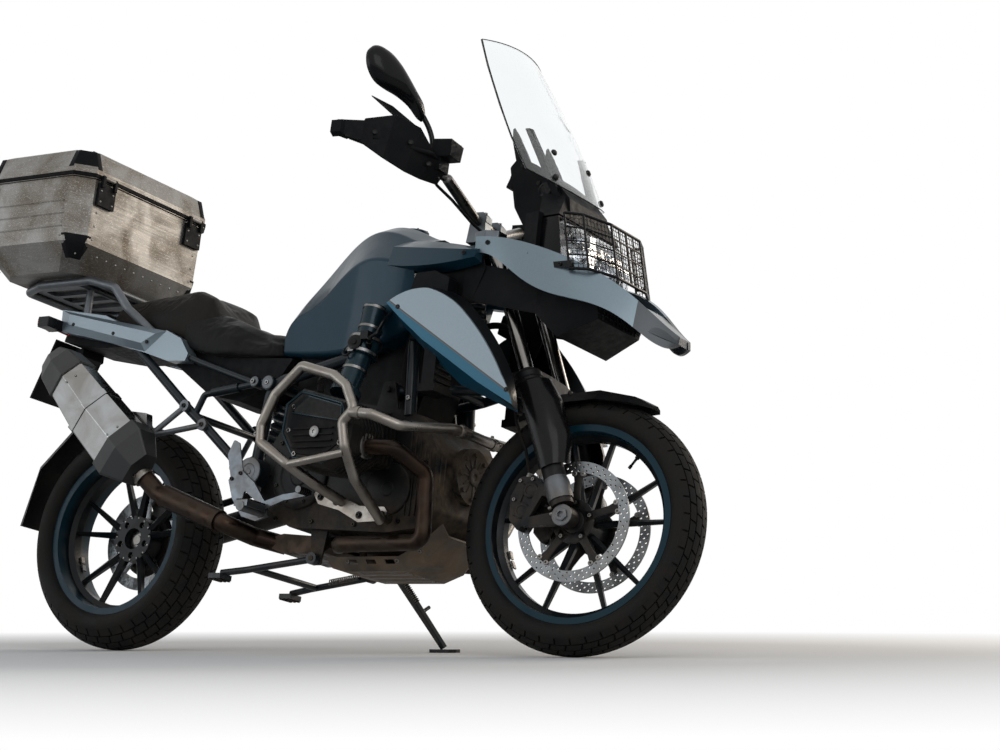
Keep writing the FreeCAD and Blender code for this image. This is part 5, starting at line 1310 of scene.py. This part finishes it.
frontSettings = {"slope": 22.8, "legY": 105.0, "sliderTop": 396.0, "legTop": 813.0}
slope = math.radians(frontSettings["slope"])
legLine = (-math.sin(slope), 0, math.cos(slope))


# Distance up a fork leg from the axle, as a place in the steered front end
def legPlace(reach, y, ahead=0.0):
    return (frontAxle[0] - reach * math.sin(slope) + ahead * math.cos(slope), y,
            frontAxle[1] + reach * math.cos(slope) + ahead * math.sin(slope))


# Fork: seals, rings, axle nuts, leg caps, clamp bolts and the stem nut
def makeForkDetails():
    seals = Shape()
    bolts = Shape()
    metal = Shape()
    top = frontSettings["sliderTop"]
    for side in (-1, 1):
        y = side * frontSettings["legY"]
        seals.spun(legPlace(top - 1, y), legLine, [(0, 33), (6, 33), (8, 30), (12, 26), (15, 21),
                                                   (17, 19.2)], 36)
        for reach in (top - 26, top - 16):
            seals.spun(legPlace(reach, y), legLine, [(0, 35), (0, 36.4), (3, 36.4), (3, 35)], 40)
        metal.spun(legPlace(44, y), legLine, [(0, 29), (0, 32.5), (46, 32.5), (54, 30.5),
                                              (60, 29)], 36)
        metal.spun(atAxle(frontAxle, y + side * 19), (0, side, 0),
                   [(0, 27), (3, 27), (4, 25), (4, 17)], 36)
        metal.spun(atAxle(frontAxle, y + side * 22), (0, side, 0),
                   [(0, 17), (6, 17), (7, 15), (7, 9), (-2, 8.5)], 6)
        for reach in (16, 32):
            bolts.bolt(legPlace(reach, y + side * 14, -24),
                       (-math.cos(slope), 0, -math.sin(slope)), 5.0, 8)
        place = legPlace(frontSettings["legTop"], y)
        metal.spun(place, legLine, [(-2, 17.5), (2.5, 17.5), (3.2, 15)], 28)
        metal.spun(place, legLine, [(2, 11), (7, 11), (8, 9.5), (8, 4)], 6)
        for z in (684, 700):
            bolts.bolt((1355 + (700 - z) * 0.4, y - side * 24, z), (1, 0, 0), 5.0, 5)
        bolts.bolt((1126, y - side * 44, 1078), (0, 0, 1), 6.0, 5)
    metal.spun((1093, 0, 1076), (-0.43, 0, 0.9), [(0, 19), (6, 19), (8, 16), (8, 6), (5, 5)], 6)
    for y in (-40, 40):
        for x in (1094, 1130):
            bolts.bolt((x - 2, y, 1160.5), (0, 0, 1), 5.5, 4)
        for x in (1092, 1130):
            bolts.box((x, y - 14, 1149.5), (x + 6, y + 14, 1150.5))
    seals.put("forkSeals", "rubberBlack", "hose_rubber", "fork")
    metal.put("forkFittings", "castGrey", "slider_metal", "fork")
    bolts.put("forkBolts", "boltSteel", "fork_metal", "fork")


# Guards that wrap the front and outer side of each slider
guardSettings = {
    "rows": [(132, 36), (200, 60), (300, 62), (368, 46)],
    "wall": 2.6,
}


def makeForkGuards():
    wall = guardSettings["wall"]
    guards = Shape()
    for side in (-1, 1):
        sections = []
        for reach, ahead in guardSettings["rows"]:
            outer = [(-24, 134), (-12, 140), (8, 141), (ahead * 0.6, 135), (ahead, 116),
                     (ahead + 6, 92)]
            inner = [(a - 0.4 * wall, y - wall) for a, y in reversed(outer)]
            sections.append([legPlace(reach, side * y, a) for a, y in outer + inner])
        guards.loft(sections)
    guards.put("forkGuards", "smoothBlack", "black_plastic", "fork")


# Caliper covers, bleed valves and hose unions
def makeCaliperDetails():
    caps = Shape()
    bolts = Shape()
    for side in (-1, 1):
        y = side * 92.7
        for x, z in ((1376, 344), (1394, 396)):
            caps.spun((x, y - side, z), (0, side, 0), [(0, 21), (4, 20.5), (5.5, 18), (5.5, 12),
                                                       (4, 11), (4, 1)], 32)
        caps.loft([[(x, y - side, z) for x, z in ((1352, 330), (1362, 326), (1384, 410),
                                                  (1372, 416))],
                   [(x, y + side * 3, z) for x, z in ((1353, 334), (1361, 331), (1382, 406),
                                                      (1373, 411))]])
        for x, z in ((1352, 372), (1364, 420), (1398, 424)):
            bolts.bolt((x, y - side, z), (0, side, 0), 5.0, 6)
        bolts.spun((1384, side * 88, 430), (0, 0, 1), [(0, 8), (5, 8), (5, 6.5), (10, 6.5), (11, 5)], 6)
        bolts.spun((1404, side * 80, 428), (0.2, 0, 1), [(0, 4), (8, 4), (9, 2.5), (13, 2.5)], 8)
    caps.put("caliperCovers", "castBlack", "slider_metal", "fork")
    bolts.put("caliperBolts", "boltSteel", "slider_metal", "fork")


# Screws on both sides of the front fender
def makeFenderDetails():
    bolts = Shape()
    for side in (-1, 1):
        for angle in (98, 110):
            place = onRing(frontAxle, 330.0, angle, side * 73.5)
            bolts.spun(place, (0, side, 0), [(0, 6.5), (2, 6.5), (3, 5), (3, 2)], 16)
    bolts.put("fenderBolts", "boltBlack", "black_plastic", "fork")


makeForkDetails()
makeForkGuards()
makeCaliperDetails()
makeFenderDetails()
print("fork ready")


# Wheels: valve stems, balance weights, hub caps and the rear hub's wheel bolts
def makeWheelDetails():
    for body, axle, reach in (("front_wheel", frontAxle, 220.0), ("rear_wheel", rearAxle, 195.0)):
        stems = Shape()
        heading = Vector((-math.cos(math.radians(54)), 0, -math.sin(math.radians(54))))
        place = onRing(axle, reach - 4, 54, -8)
        stems.spun(place, heading, [(-6, 6), (0, 6), (3, 3.4), (22, 3.2), (22, 4.2), (31, 4.2),
                                    (32, 3)], 12)
        stems.put(body.replace("_wheel", "ValveStem"), "rubberBlack", "tyre_rubber", body)
        weights = Shape()
        for angle in (196, 203):
            weights.loft([[onRing(axle, reach - inward, angle + step * 1.4, y)
                           for inward, y in ((1.5, 9), (1.5, 22), (6, 22), (6, 9))]
                          for step in range(5)])
        weights.put(body.replace("_wheel", "Weights"), "boltSteel", "disc_steel", body)
    bolts = Shape()
    for index in range(5):
        bolts.spun(onRing(rearAxle, 47.0, 72 * index + 54, 33), (0, -1, 0),
                   [(0, 8.4), (8, 8.4), (10, 6.5), (10, 4), (6, 3.8)], 6)
    bolts.spun(atAxle(rearAxle, 43), (0, -1, 0),
               [(0, 29), (6, 28), (8, 24), (8, 14), (12, 13), (12, 2)], 36)
    for angle in range(0, 360, 24):
        place = onRing(rearAxle, 60.5, angle + 6, 14.5)
        bolts.spun(place, (0, -1, 0), [(0, 3), (1.6, 3), (2, 2)], 8)
    bolts.put("rearWheelBolts", "boltSteel", "disc_steel", "rear_wheel")
    caps = Shape()
    for side in (-1, 1):
        caps.spun(atAxle(frontAxle, side * 58.5), (0, side, 0),
                  [(0, 30), (3, 29), (4, 26), (4, 19)], 36)
    caps.put("frontHubCaps", "castBlack", "rim_paint", "front_wheel")


makeWheelDetails()
print("wheels ready")


# A wire wound round the line from start to end
def coil(shape, start, end, radius, wire, turns):
    start, end = Vector(start), Vector(end)
    along = (end - start).normalized()
    side = along.orthogonal().normalized()
    other = along.cross(side)
    steps = int(turns * 16)
    points = []
    for step in range(steps + 1):
        angle = math.tau * turns * step / steps
        points.append(start.lerp(end, step / steps) + (side * math.cos(angle)
                                                       + other * math.sin(angle)) * radius)
    shape.tube(points, wire, 6)


# Frame and running gear: pivot caps, shaft gaiter, screws, strut springs and hoses
def makeChassisDetails():
    caps = Shape()
    bolts = Shape()
    rubber = Shape()
    for side in (-1, 1):
        caps.spun((560, side * 178.5, 452), (0, side, 0),
                  [(0, 39), (3, 38), (4, 34), (4, 22), (2.5, 20), (2.5, 8), (4.5, 7), (4.5, 1)], 44)
        caps.spun((569, side * 159.5, 700), (0, side, 0), [(0, 19), (3, 18), (4, 15), (4, 1)], 30)
        caps.spun((519, side * 155.5, 706), (0, side, 0), [(0, 14.5), (3, 14), (4, 11), (4, 1)], 26)
        for x, z in ((569, 700), (519, 706)):
            bolts.bolt((x, side * 159, z), (0, side, 0), 6.5, 7)
        for x, z in ((500, 470), (342, 598), (280, 644)):
            bolts.bolt((x, side * 146.5, z), (0, side, 0), 6.0, 5)
        bolts.bolt((548, side * 155, 560), (0, side, 0), 6.0, 5)
        bolts.bolt((1034, side * 147, 640), (0, side, 0), 7.0, 5)
    caps.put("pivotCaps", "castGrey", "slider_metal", bevel=0.5)
    for index in range(6):
        place = between((540, 103, 438), (482, 139, 426), index / 5)
        rubber.spun(place, (-0.82, 0.55, -0.18), [(-6, 38.5), (0, 43 - index % 2), (6, 38.5)], 36)
    rubber.put("shaftGaiter", "rubberBlack", "hose_rubber")
    for angle in range(0, 360, 45):
        bolts.bolt(onRing(rearAxle, 84.0, angle + 12, 158), (0, 1, 0), 5.0, 5)
    bolts.bolt((-30, 174, 300), (0, 1, 0), 9.0, 6)
    bolts.spun(atAxle(rearAxle, 180), (0, 1, 0),
               [(0, 34), (4, 33), (5, 30), (5, 12), (3, 10)], 36)
    bolts.put("chassisBolts", "boltSteel", "fork_metal")
    springs = Shape()
    for low, high, radius, wire in (((392, 70, 470), (500, 40, 700), 33.0, 4.2),
                                    ((1150, 0, 690), (1092, 0, 956), 30.5, 3.8)):
        coil(springs, between(low, high, 0.18), between(low, high, 0.88), radius, wire, 8)
    springs.put("strutSprings", "springWire", "guard_steel")
    hoses = Shape()
    hoses.tube(smoothLine([(510, 150, 470), (440, 182, 452), (300, 182, 424), (180, 178, 402),
                           (96, 150, 400), (70, 100, 420)], 8), 4.0, 8)
    for side in (-1, 1):
        hoses.tube(smoothLine([(1144, side * 170, 862), (1120, side * 140, 900),
                               (1060, side * 120, 900), (1010, side * 120, 850),
                               (1000, side * 128, 700), (1030, side * 110, 620)], 8), 9.0, 10)
    hoses.put("chassisHoses", "rubberBlack", "hose_rubber")


# Springs of both stands and the treads under the centre stand's feet
def makeStandDetails():
    spring = Shape()
    start, end = (between((830, 142, 249), (936, 262, 60), share) + Vector((14, -6, 0))
                  for share in (0.1, 0.42))
    coil(spring, start, end, 6.5, 1.6, 14)
    spring.put("sideStandSpring", "springWire", "guard_steel", "side_stand")
    spring = Shape()
    coil(spring, (742, 110, 224), (640, 116, 210), 7.0, 1.8, 16)
    spring.put("centreStandSpring", "springWire", "guard_steel", "centre_stand")
    feet = Shape()
    for side in (-1, 1):
        for x in (468, 482, 496):
            feet.box((x - 3, side * 150 - 24, 165), (x + 3, side * 150 + 24, 169))
    feet.put("standTreads", "rubberBlack", "hose_rubber", "centre_stand")


# Footrest rubbers with teeth, pedal pads and plate screws
def makeFootrestDetails():
    rubber = Shape()
    bolts = Shape()
    for side in (-1, 1):
        for y in range(206, 276, 9):
            middle = side * (y - 2.6)
            rubber.box((607, middle - 2.6, 353), (649, middle + 2.6, 358.5))
        for x, z in ((512, 432), (622, 330), (540, 446), (608, 352)):
            bolts.bolt((x, side * 187.5, z), (0, side, 0), 5.5, 5)
        for y in range(200, 238, 8):
            rubber.spun((782, side * y, 386), (0, side, 0), [(0, 9), (0, 10.4), (4, 10.4), (4, 9)], 20)
        bolts.spun((196, side * 195.5, 560), (0, side, 0), [(0, 12), (4, 11), (5, 8), (5, 3)], 20)
        for x, z in ((280, 650), (352, 594)):
            bolts.bolt((x, side * 157, z), (0, side, 0), 6.5, 5)
    rubber.put("footRubbers", "rubberBlack", "hose_rubber")
    bolts.put("footrestBolts", "boltBlack", "plate_metal")


makeChassisDetails()
makeStandDetails()
makeFootrestDetails()
print("chassis ready")


# Handlebar controls: ribbed grips, switches, cup lids with screws, lever pivots, guard screws
# A place on the bar's axis, from the grip's inner end to its outer end
def barPlace(share):
    start, end = Vector((1056, -300, 1224)), Vector((942, -472, 1237))
    return start + (end - start) * share


def makeControlDetails():
    grips = Shape()
    bolts = Shape()
    black = Shape()
    red = Shape()
    run = barPlace(1.0) - barPlace(0.0)
    for step in range(24):
        grips.spun(barPlace(0.26 + step * 0.0275), run, [(0, 17), (0.6, 18.3), (2.6, 18.3), (3.2, 17)],
                   24)
    grips.spun(barPlace(0.215), run, [(0, 17), (1, 22), (5, 22), (6, 17)], 28)
    bolts.spun(barPlace(1.08), run, [(-1, 13), (2, 12), (2.5, 7), (1, 6)], 24)
    for x, y in ((1098, -284), (1144, -284), (1144, -238), (1098, -238)):
        bolts.spun((x, y, 1271.5), (0.08, 0, 1), [(0, 3.6), (2.2, 3.4), (2.4, 1.6), (1.2, 1.5)], 12)
    black.loft([[(1092, -291, 1272), (1149, -291, 1268.5), (1149, -231, 1268.5), (1092, -231, 1272)],
                [(1095, -288, 1277), (1146, -288, 1273.5), (1146, -234, 1273.5),
                 (1095, -234, 1277)]])
    bolts.bolt((1106, -270, 1238.5), (0, 0, 1), 5.5, 4)
    for share, place in ((0.06, (-22, 6, 14)), (0.12, (-22, 2, 16))):
        spot = barPlace(share) + Vector(place)
        black.box(spot - Vector((7, 6, 4)), spot + Vector((5, 6, 5)))
    spot = barPlace(0.1) + Vector((2, 0, 24))
    red.box(spot - Vector((8, 7, 2)), spot + Vector((8, 7, 4)))
    for shape in (grips, bolts, black):
        shape.both()
    grips.put("gripRibs", "rubberBlack", "hose_rubber", "fork")
    bolts.put("controlScrews", "boltSteel", "fork_metal", "fork")
    black.put("controlCaps", "smoothBlack", "black_plastic", "fork")
    red.put("stopSwitch", "signalRed", "lamp_red", "fork")
    screws = Shape()
    for x, y, z in ((1101, -310, 1196), (1080, -375, 1230), (1012, -442, 1236)):
        screws.spun((x + 3, y - 4, z), (0.62, -0.78, 0.1), [(0, 7), (3, 6.6), (4, 5), (4, 2)], 18)
    screws.both()
    screws.put("guardScrews", "boltBlack", "black_plastic", "fork")


# Mirrors: a smooth teardrop shell over its glass, turned toward the rider
mirrorSettings = {
    "rim": [(0, 0), (14, 1), (46, 24), (87, 39), (129, 46), (162, 57), (184, 80), (194, 106),
            (193, 130), (174, 148), (139, 143), (101, 121), (66, 90), (32, 56), (5, 27)],
    "neck": (1066.0, -306.0, 1322.0),
    "turn": 25.0,
    "domes": [(-8, 0.9), (-10, 0.96), (-8, 0.995), (0, 1.0), (8, 0.96), (16, 0.87), (23, 0.7),
              (28, 0.46), (30, 0.2)],
}


# A smooth closed line through the points
def closedLine(points, steps):
    count = len(points)
    line = []
    for index in range(count):
        corners = [Vector(points[(index + shift) % count]) for shift in (-1, 0, 1, 2)]
        line += curveSteps(*corners, steps)
    return line


def makeMirrors():
    neck = Vector(mirrorSettings["neck"])
    turn = math.radians(mirrorSettings["turn"])
    out = Vector((-math.sin(turn), -math.cos(turn), 0))
    ahead = Vector((math.cos(turn), -math.sin(turn), 0.12)).normalized()
    outline = closedLine(mirrorSettings["rim"], 4)
    middle = sum(outline, Vector((0, 0))) / len(outline)

    def ring(offset, share):
        spots = [middle + (spot - middle) * share for spot in outline]
        return [neck + out * spot[0] + Vector((0, 0, spot[1])) + ahead * offset for spot in spots]

    shell = Shape()
    shell.loft([ring(offset, share) for offset, share in mirrorSettings["domes"]])
    stalk = smoothLine([(1084, -282, 1238), (1088, -286, 1268), (1080, -296, 1300),
                        tuple(neck + Vector((0, -6, 8))), tuple(neck + out * 22 + Vector((0, 0, 24)))],
                       8)
    shell.tube(stalk, 7.0, 14)
    shell.spun((1084, -282, 1234), (0, 0, 1), [(0, 13), (12, 12.5), (14, 10), (24, 8)], 24)
    shell.both()
    glass = Shape()
    glass.loft([ring(-9.6, 0.88), ring(-7.4, 0.88), ring(-6.9, 0.86)])
    glass.both()
    for piece in (shell.put("mirrorShells", "smoothBlack", "black_plastic", "fork"),
                  glass.put("mirrorGlasses", "mirrorGlass", "lamp_clear", "fork")):
        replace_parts(piece, "mirrors")


makeControlDetails()
makeMirrors()
print("controls ready")


# Screen: fixing screws with washers and a narrow dark edge
screenSettings = {
    "stations": [(1216, 1352, 186, 1426, 1180), (1300, 1306, 197, 1374, 1290),
                 (1400, 1252, 190, 1316, 1400), (1520, 1188, 172, 1240, 1524),
                 (1611, 1140, 148, 1176, 1622)],
    "edge": 1.6,
}


def screenPoint(z, x, y, middleX, middleZ, share):
    flat = arcThrough((-y, 0), (0, math.hypot(middleX - x, middleZ - z)), (y, 0), 40)
    across, reach = flat[round((share + 1) * 20)]
    lift = Vector((middleX - x, 0, middleZ - z)).normalized()
    return Vector((x, across, z)) + lift * reach


def makeScreenDetails():
    stations = screenSettings["stations"]
    edge = Shape()
    sides = [[screenPoint(*station, share) for station in stations] for share in (-1, 1)]
    top = [screenPoint(*stations[-1], share / 10) for share in range(-10, 11)]
    bottom = [screenPoint(*stations[0], share / 10) for share in range(10, -11, -1)]
    line = smoothLine(sides[0], 6) + top[1:] + smoothLine(list(reversed(sides[1])), 6)[1:]
    line += bottom[1:-1]
    centre = sum(line, Vector()) / len(line)
    line = [spot + (centre - spot).normalized() * 1.4 for spot in line]
    edge.tube(line, screenSettings["edge"], 6, ring=True)
    edge.put("screenEdge", "smoothBlack", "black_plastic")
    screws = Shape()
    for row, share in ((0, -0.55), (0, 0.55), (1, -0.42), (1, 0.42)):
        spot = screenPoint(*stations[row], share)
        if row == 0:
            spot += Vector((-8, 0, 22))
        screws.spun(spot - Vector((2, 0, 0)), (0.86, share * 0.5, 0.4),
                    [(0, 9), (4, 9), (5, 7.5), (7, 6), (7.5, 2)], 20)
    screws.put("screenScrews", "boltBlack", "black_plastic")


# Instruments: two dials behind glass, a display, and the knobs and screws of the sides
def makeCockpitDetails():
    glass = Shape()
    rims = Shape()
    facing = Vector((-0.93, 0, 0.37))
    up = Vector((0.37, 0, 0.93))

    def spot(y, height, off=0.0):
        return Vector((1222, y, 1212)) + up * height + facing * (off + 0.6)

    for y in (-48, 48):
        rims.spun(spot(y, 34), facing, [(0, 33), (2, 32), (2.6, 30), (1, 28)], 40)
        glass.spun(spot(y, 34), facing, [(0, 28), (1.4, 28), (1.8, 24)], 40)
    glass.loft([[spot(y, h, off) for y, h in ((-16, 8), (16, 8), (16, 64), (-16, 64))]
                for off in (0, 2.6)])
    rims.loft([[spot(y, h, off) for y, h in ((-19, 5), (19, 5), (19, 67), (-19, 67))]
               for off in (-1, 1.6)])
    screws = Shape()
    for side in (-1, 1):
        rims.spun((1360, side * 98, 1186), (0, side, 0), [(0, 20), (8, 19), (9, 16), (9, 4)], 30)
        for x, z in ((1352, 1090), (1410, 1120), (1330, 1210), (1276, 1262)):
            screws.spun((x, side * 92.5, z), (0, side, 0), [(0, 6), (2, 5.6), (2.6, 4), (2.6, 2)],
                        16)
    glass.put("dialGlass", "screenGlass", "lamp_clear")
    rims.put("dialRims", "smoothBlack", "black_plastic")
    screws.put("cockpitScrews", "boltBlack", "black_plastic")


# Dark wind blades beside the screen's struts, and covers that close the steering head's sides
def makeBlades():
    blades = Shape()
    for side in (-1, 1):
        rows = []
        for x, z, depth, lift in ((1326, 1190, 6, 0), (1304, 1232, 22, 2), (1272, 1290, 26, 4),
                                  (1244, 1344, 16, 4), (1230, 1372, 4, 3)):
            y = side * (84 - lift)
            rows.append([(x - depth, y - 2.5, z - depth * 0.4), (x + depth * 0.4, y - 2.5, z + 2),
                         (x + depth * 0.4, y + 2.5, z + 2), (x - depth, y + 2.5, z - depth * 0.4)])
        blades.loft(rows)
    blades.put("windBlades", "smoothBlack", "black_plastic")
    covers = Shape()
    for side in (-1, 1):
        outline = [(1112, 812), (1196, 822), (1226, 900), (1250, 962), (1236, 1012), (1112, 1004)]
        covers.loft([[(x, side * y, z) for x, z in outline] for y in (171, 174)])
    covers.put("headCovers", "blackPlastic", "black_plastic")


makeScreenDetails()
makeBlades()
makeCockpitDetails()
print("cockpit ready")


# Tank: lockable cap with its ring of screws, and the side screws
def makeTankDetails():
    cap = Shape()
    cap.spun((884, 0, 1141), (0, 0, 1), [(0, 36), (2, 36), (4, 34), (4, 27), (2, 26), (2, 24),
                                         (5, 23), (7, 18), (7, 2)], 48)
    cap.box((872, -4, 1147), (902, 4, 1150.5))
    cap.put("fillerCap", "castGrey", "bar_metal", bevel=0.5)
    screws = Shape()
    for angle in range(0, 360, 60):
        place = onRing((0, 0), 31, angle + 15, 0)
        screws.bolt((884 + place[0], place[2], 1144), (0, 0, 1), 2.6, 3)
    for side in (-1, 1):
        for x, y, z in ((1118, 214, 992), (1210, 219, 994)):
            screws.spun((x, side * y, z), (0, side, 0.05), [(0, 6.5), (2.4, 6.2), (3, 5), (3, 2.4),
                                                            (1, 2.2)], 18)
    screws.put("tankScrews", "boltBlack", "fork_metal")


# Screws at the top and the foot of each shroud
def makeShroudDetails():
    screws = Shape()
    for side in (-1, 1):
        for x, z in ((1052, 850), (1392, 624)):
            y = -264 + (x - 1017) * 0.09
            screws.spun((x, -side * (y + 1.0), z), (0, side, 0),
                        [(0, 6.5), (2.2, 6.2), (2.8, 5), (2.8, 2.4), (1, 2.2)], 18)
    screws.put("shroudScrews", "boltBlack", "fork_metal")


makeTankDetails()
makeShroudDetails()
print("tank ready")


# Radiators: packed fins behind the slats, and the caps on top
def makeRadiatorDetails():
    fins = Shape()
    for side in (-1, 1):
        for index in range(34):
            z = 655 + index * 5.9
            fins.box((1158, side * 190 - 32, z), (1167.5, side * 190 + 32, z + 1.2))
        fins.spun((1148, side * 176, 872), (0, 0, 1), [(0, 16), (8, 16), (10, 13), (10, 3)], 24)
    fins.put("radiatorFins", "finCast", "black_plastic")


# Beak and duct: side screws and a mesh in the duct's mouth
def makeNoseDetails():
    screws = Shape()
    for side in (-1, 1):
        for x, y, z in ((1268, 201.5, 1022), (1380, 185, 990)):
            screws.spun((x, side * y, z), (0, side, 0.1), [(0, 6.5), (2.2, 6.2), (2.8, 5),
                                                          (2.8, 2.4), (1, 2.2)], 18)
        screws.bolt((1474, side * 170, 958), (0, side, 0), 5.0, 5)
    screws.put("noseScrews", "boltBlack", "fork_metal")
    grille = Shape()
    for step in range(1, 12):
        y = -96 + step * 16
        grille.tube([(1557, y, 834), (1557, y, 894)], 1.4, 5)
    for step in range(1, 5):
        grille.tube([(1557, -104, 832 + step * 13), (1557, 104, 832 + step * 13)], 1.4, 5)
    grille.put("ductGrille", "smoothBlack", "black_plastic")


makeRadiatorDetails()
makeNoseDetails()
print("nose ready")


# Tail: ribs of the lamp lens, amber lenses in their hoods, screws and a blank plate
def makeTailDetails():
    lens = Shape()
    amber = Shape()
    bolts = Shape()
    black = Shape()
    plate = Shape()
    for y in range(-48, 49, 8):
        lens.loft([[(x, y - half, 897), (x + 11, y - half, 933), (x + 11, y + half, 933),
                    (x, y + half, 897)] for x, half in ((-287.5, 1.6), (-284, 2.2))])
    black.loft([[(x, -54, z - 3), (x + 35, -54, z - 3), (x + 35, 54, z - 3), (x, 54, z - 3)]
                for x, z in ((-288, 897), (-289, 900))])
    for side in (-1, 1):
        amber.loft([[(x, side * y, z) for x, z in ((back, low), (back, high), (front, high),
                                                   (front, low))]
                    for back, front, y, low, high in ((-283, -235, 152, 895.5, 920.5),
                                                      (-278, -243, 203, 900, 918),
                                                      (-274, -247, 207, 903, 915))])
        for y in (-80, 80):
            bolts.spun((-338, y, 804), (-0.92, 0, 0.39), [(0, 6), (2.4, 5.6), (3, 4), (3, 1)], 16)
        for x in (-360, -230, -160):
            bolts.bolt((x, side * 104, 1049), (0, 0, 1), 6.0, 4)
        for x, y, z in ((-180, 159.5, 908), (-20, 159.5, 872), (110, 158, 840)):
            bolts.spun((x, side * y, z), (0, side, 0), [(0, 5.5), (1.8, 5.2), (2.2, 4), (2.2, 2)],
                       16)
        bolts.bolt((80, side * 137, 880), (0, side, 0), 6.5, 5)
        hood = [(-271, 151), (-271, 205.5), (-232, 205.5), (-232, 151)]
        for low, high in ((893, 896), (920.2, 923)):
            black.loft([[(x, side * y, z) for x, y in hood] for z in (low, high)])
        black.loft([[(x, side * y, z) for x, z in ((-271, 893), (-232, 893), (-232, 923),
                                                   (-271, 923))] for y in (204.2, 209)])
        black.loft([[(x, side * y, z) for y, z in ((151, 893), (209, 893), (209, 923),
                                                   (151, 923))] for x in (-234.5, -231)])
    normal = Vector((-0.922, 0, 0.386))
    high, low = (between((-300, 0, 888), (-372, 0, 716), share) for share in (0.02, 0.98))
    plate.loft([[middle + Vector((0, y, 0)) + normal * off
                 for middle, y in ((high, -97), (high, 97), (low, 97), (low, -97))]
                for off in (0.1, 1.2)])
    lens.put("tailLensRibs", "redLens", "lamp_red")
    amber.put("indicatorLenses", "amberLens", "lamp_red")
    bolts.put("tailBolts", "boltBlack", "fork_metal")
    black.put("tailLampFrame", "smoothBlack", "black_plastic")
    plate.put("blankPlate", "plateBlank", "plate_metal")


# Silencer: rivets of the heat shield, the clamp at its foot and the ring of its outlet
def makeSilencerDetails():
    rivets = Shape()
    clamp = Shape()
    axis = Vector((-0.7314, 0, 0.682))
    across = Vector((0.682, 0, 0.7314))
    for side in (-1, 1):
        for share, height in ((0.1, 40), (0.1, 8), (0.95, 34), (0.95, 6)):
            middle = Vector((180, -262, 510)).lerp(Vector((-30, -262, 694)), share)
            half = 55.5 if abs(height) < 20 else 44
            rivets.rivet(middle + across * height + Vector((0, side * half, 0)), (0, side, 0.2), 3.4)
    clamp.spun((243, -231, 430), (-0.68, -0.34, 0.66), [(0, 27), (0, 30), (16, 30), (16, 27)], 36)
    clamp.bolt((236, -262, 430), (0, -1, 0), 5.0, 8)
    clamp.spun((-121, -262, 773), axis, [(0, 26), (4, 26), (5, 24), (5, 19), (-8, 18)], 36)
    rivets.put("silencerRivets", "boltSteel", "silencer_steel")
    clamp.put("silencerClamp", "guardSteel", "silencer_steel")


makeTailDetails()
makeSilencerDetails()
print("tail ready")


# Case: lid seam strip, toggle latches, rows of rivets and wire bails on the lid
def makeCaseFittings():
    seam = Shape()
    steel = Shape()
    black = Shape()

    def ring(inset, z):
        x0, x1 = caseSettings["back"] + inset, caseSettings["front"] - inset
        half, corner = caseSettings["half"] - inset, caseSettings["corner"]
        return [(x0 + corner, -half, z), (x1 - corner, -half, z), (x1, corner - half, z),
                (x1, half - corner, z), (x1 - corner, half, z), (x0 + corner, half, z),
                (x0, half - corner, z), (x0, corner - half, z)]

    seam.loft([ring(inset, z) for inset, z in ((-5.2, 1316.5), (-7.6, 1318.5), (-7.6, 1327),
                                               (-5.2, 1329), (-3, 1323))])
    seam.put("lidSeam", "rubberBlack", "hose_rubber", "case_lid", degrees=30)
    for y in (-150, 150):
        black.loft([[(x, y - half, low), (x, y + half, low), (x, y + half - 4, high),
                     (x, y + 4 - half, high)]
                    for x, half, low, high in ((-515, 22, 1238, 1296), (-517.4, 20, 1242, 1292))])
        steel.tube([(-516, y - 14, 1282), (-516, y - 14, 1322), (-515, y - 12, 1336),
                    (-515, y + 12, 1336), (-516, y + 14, 1322), (-516, y + 14, 1282)], 1.8, 8)
        for dy in (-24, 24):
            for z in (1292, 1238):
                steel.rivet((-515.6, y + dy, z), (-1, 0, 0), 2.6)
    for y in (-190, 190):
        for dy in (-24, 24):
            for z in (1252, 1284):
                steel.rivet((-91, y + dy, z), (1, 0, 0), 3.6)
    for y in range(-195, 196, 39):
        steel.rivet((-91, y, 1090), (1, 0, 0), 3.4)
        steel.rivet((-515.6, y, 1090), (-1, 0, 0), 2.6)
    for side in (-1, 1):
        for x in range(-475, -130, 49):
            for z in (1306, 1092):
                steel.rivet((x, side * 242.5, z), (0, side, 0), 3.4)
    black.put("caseLatches", "smoothBlack", "black_plastic", bevel=0.8)
    steel.put("caseLatchWires", "boltSteel", "case_metal")
    bails = Shape()
    feet = Shape()
    for x, y in ((-470, -214), (-470, 214), (-136, -214), (-136, 214)):
        side = 1 if y > 0 else -1
        bails.tube([(x, y - side * 26, 1392), (x, y - side * 26, 1399), (x, y - side * 18, 1402.5),
                    (x, y + side * 10, 1402.5), (x, y + side * 16, 1398), (x, y + side * 16, 1388)],
                   3.0, 8)
        for shift in (-26, 16):
            feet.spun((x, y + side * shift, 1388), (0, 0, 1), [(0, 8), (8, 7), (9, 5), (9, 2)], 16)
    bails.put("lidBails", "smoothBlack", "black_plastic", "case_lid")
    feet.put("lidBailFeet", "smoothBlack", "black_plastic", "case_lid")


makeCaseFittings()
print("case fittings ready")
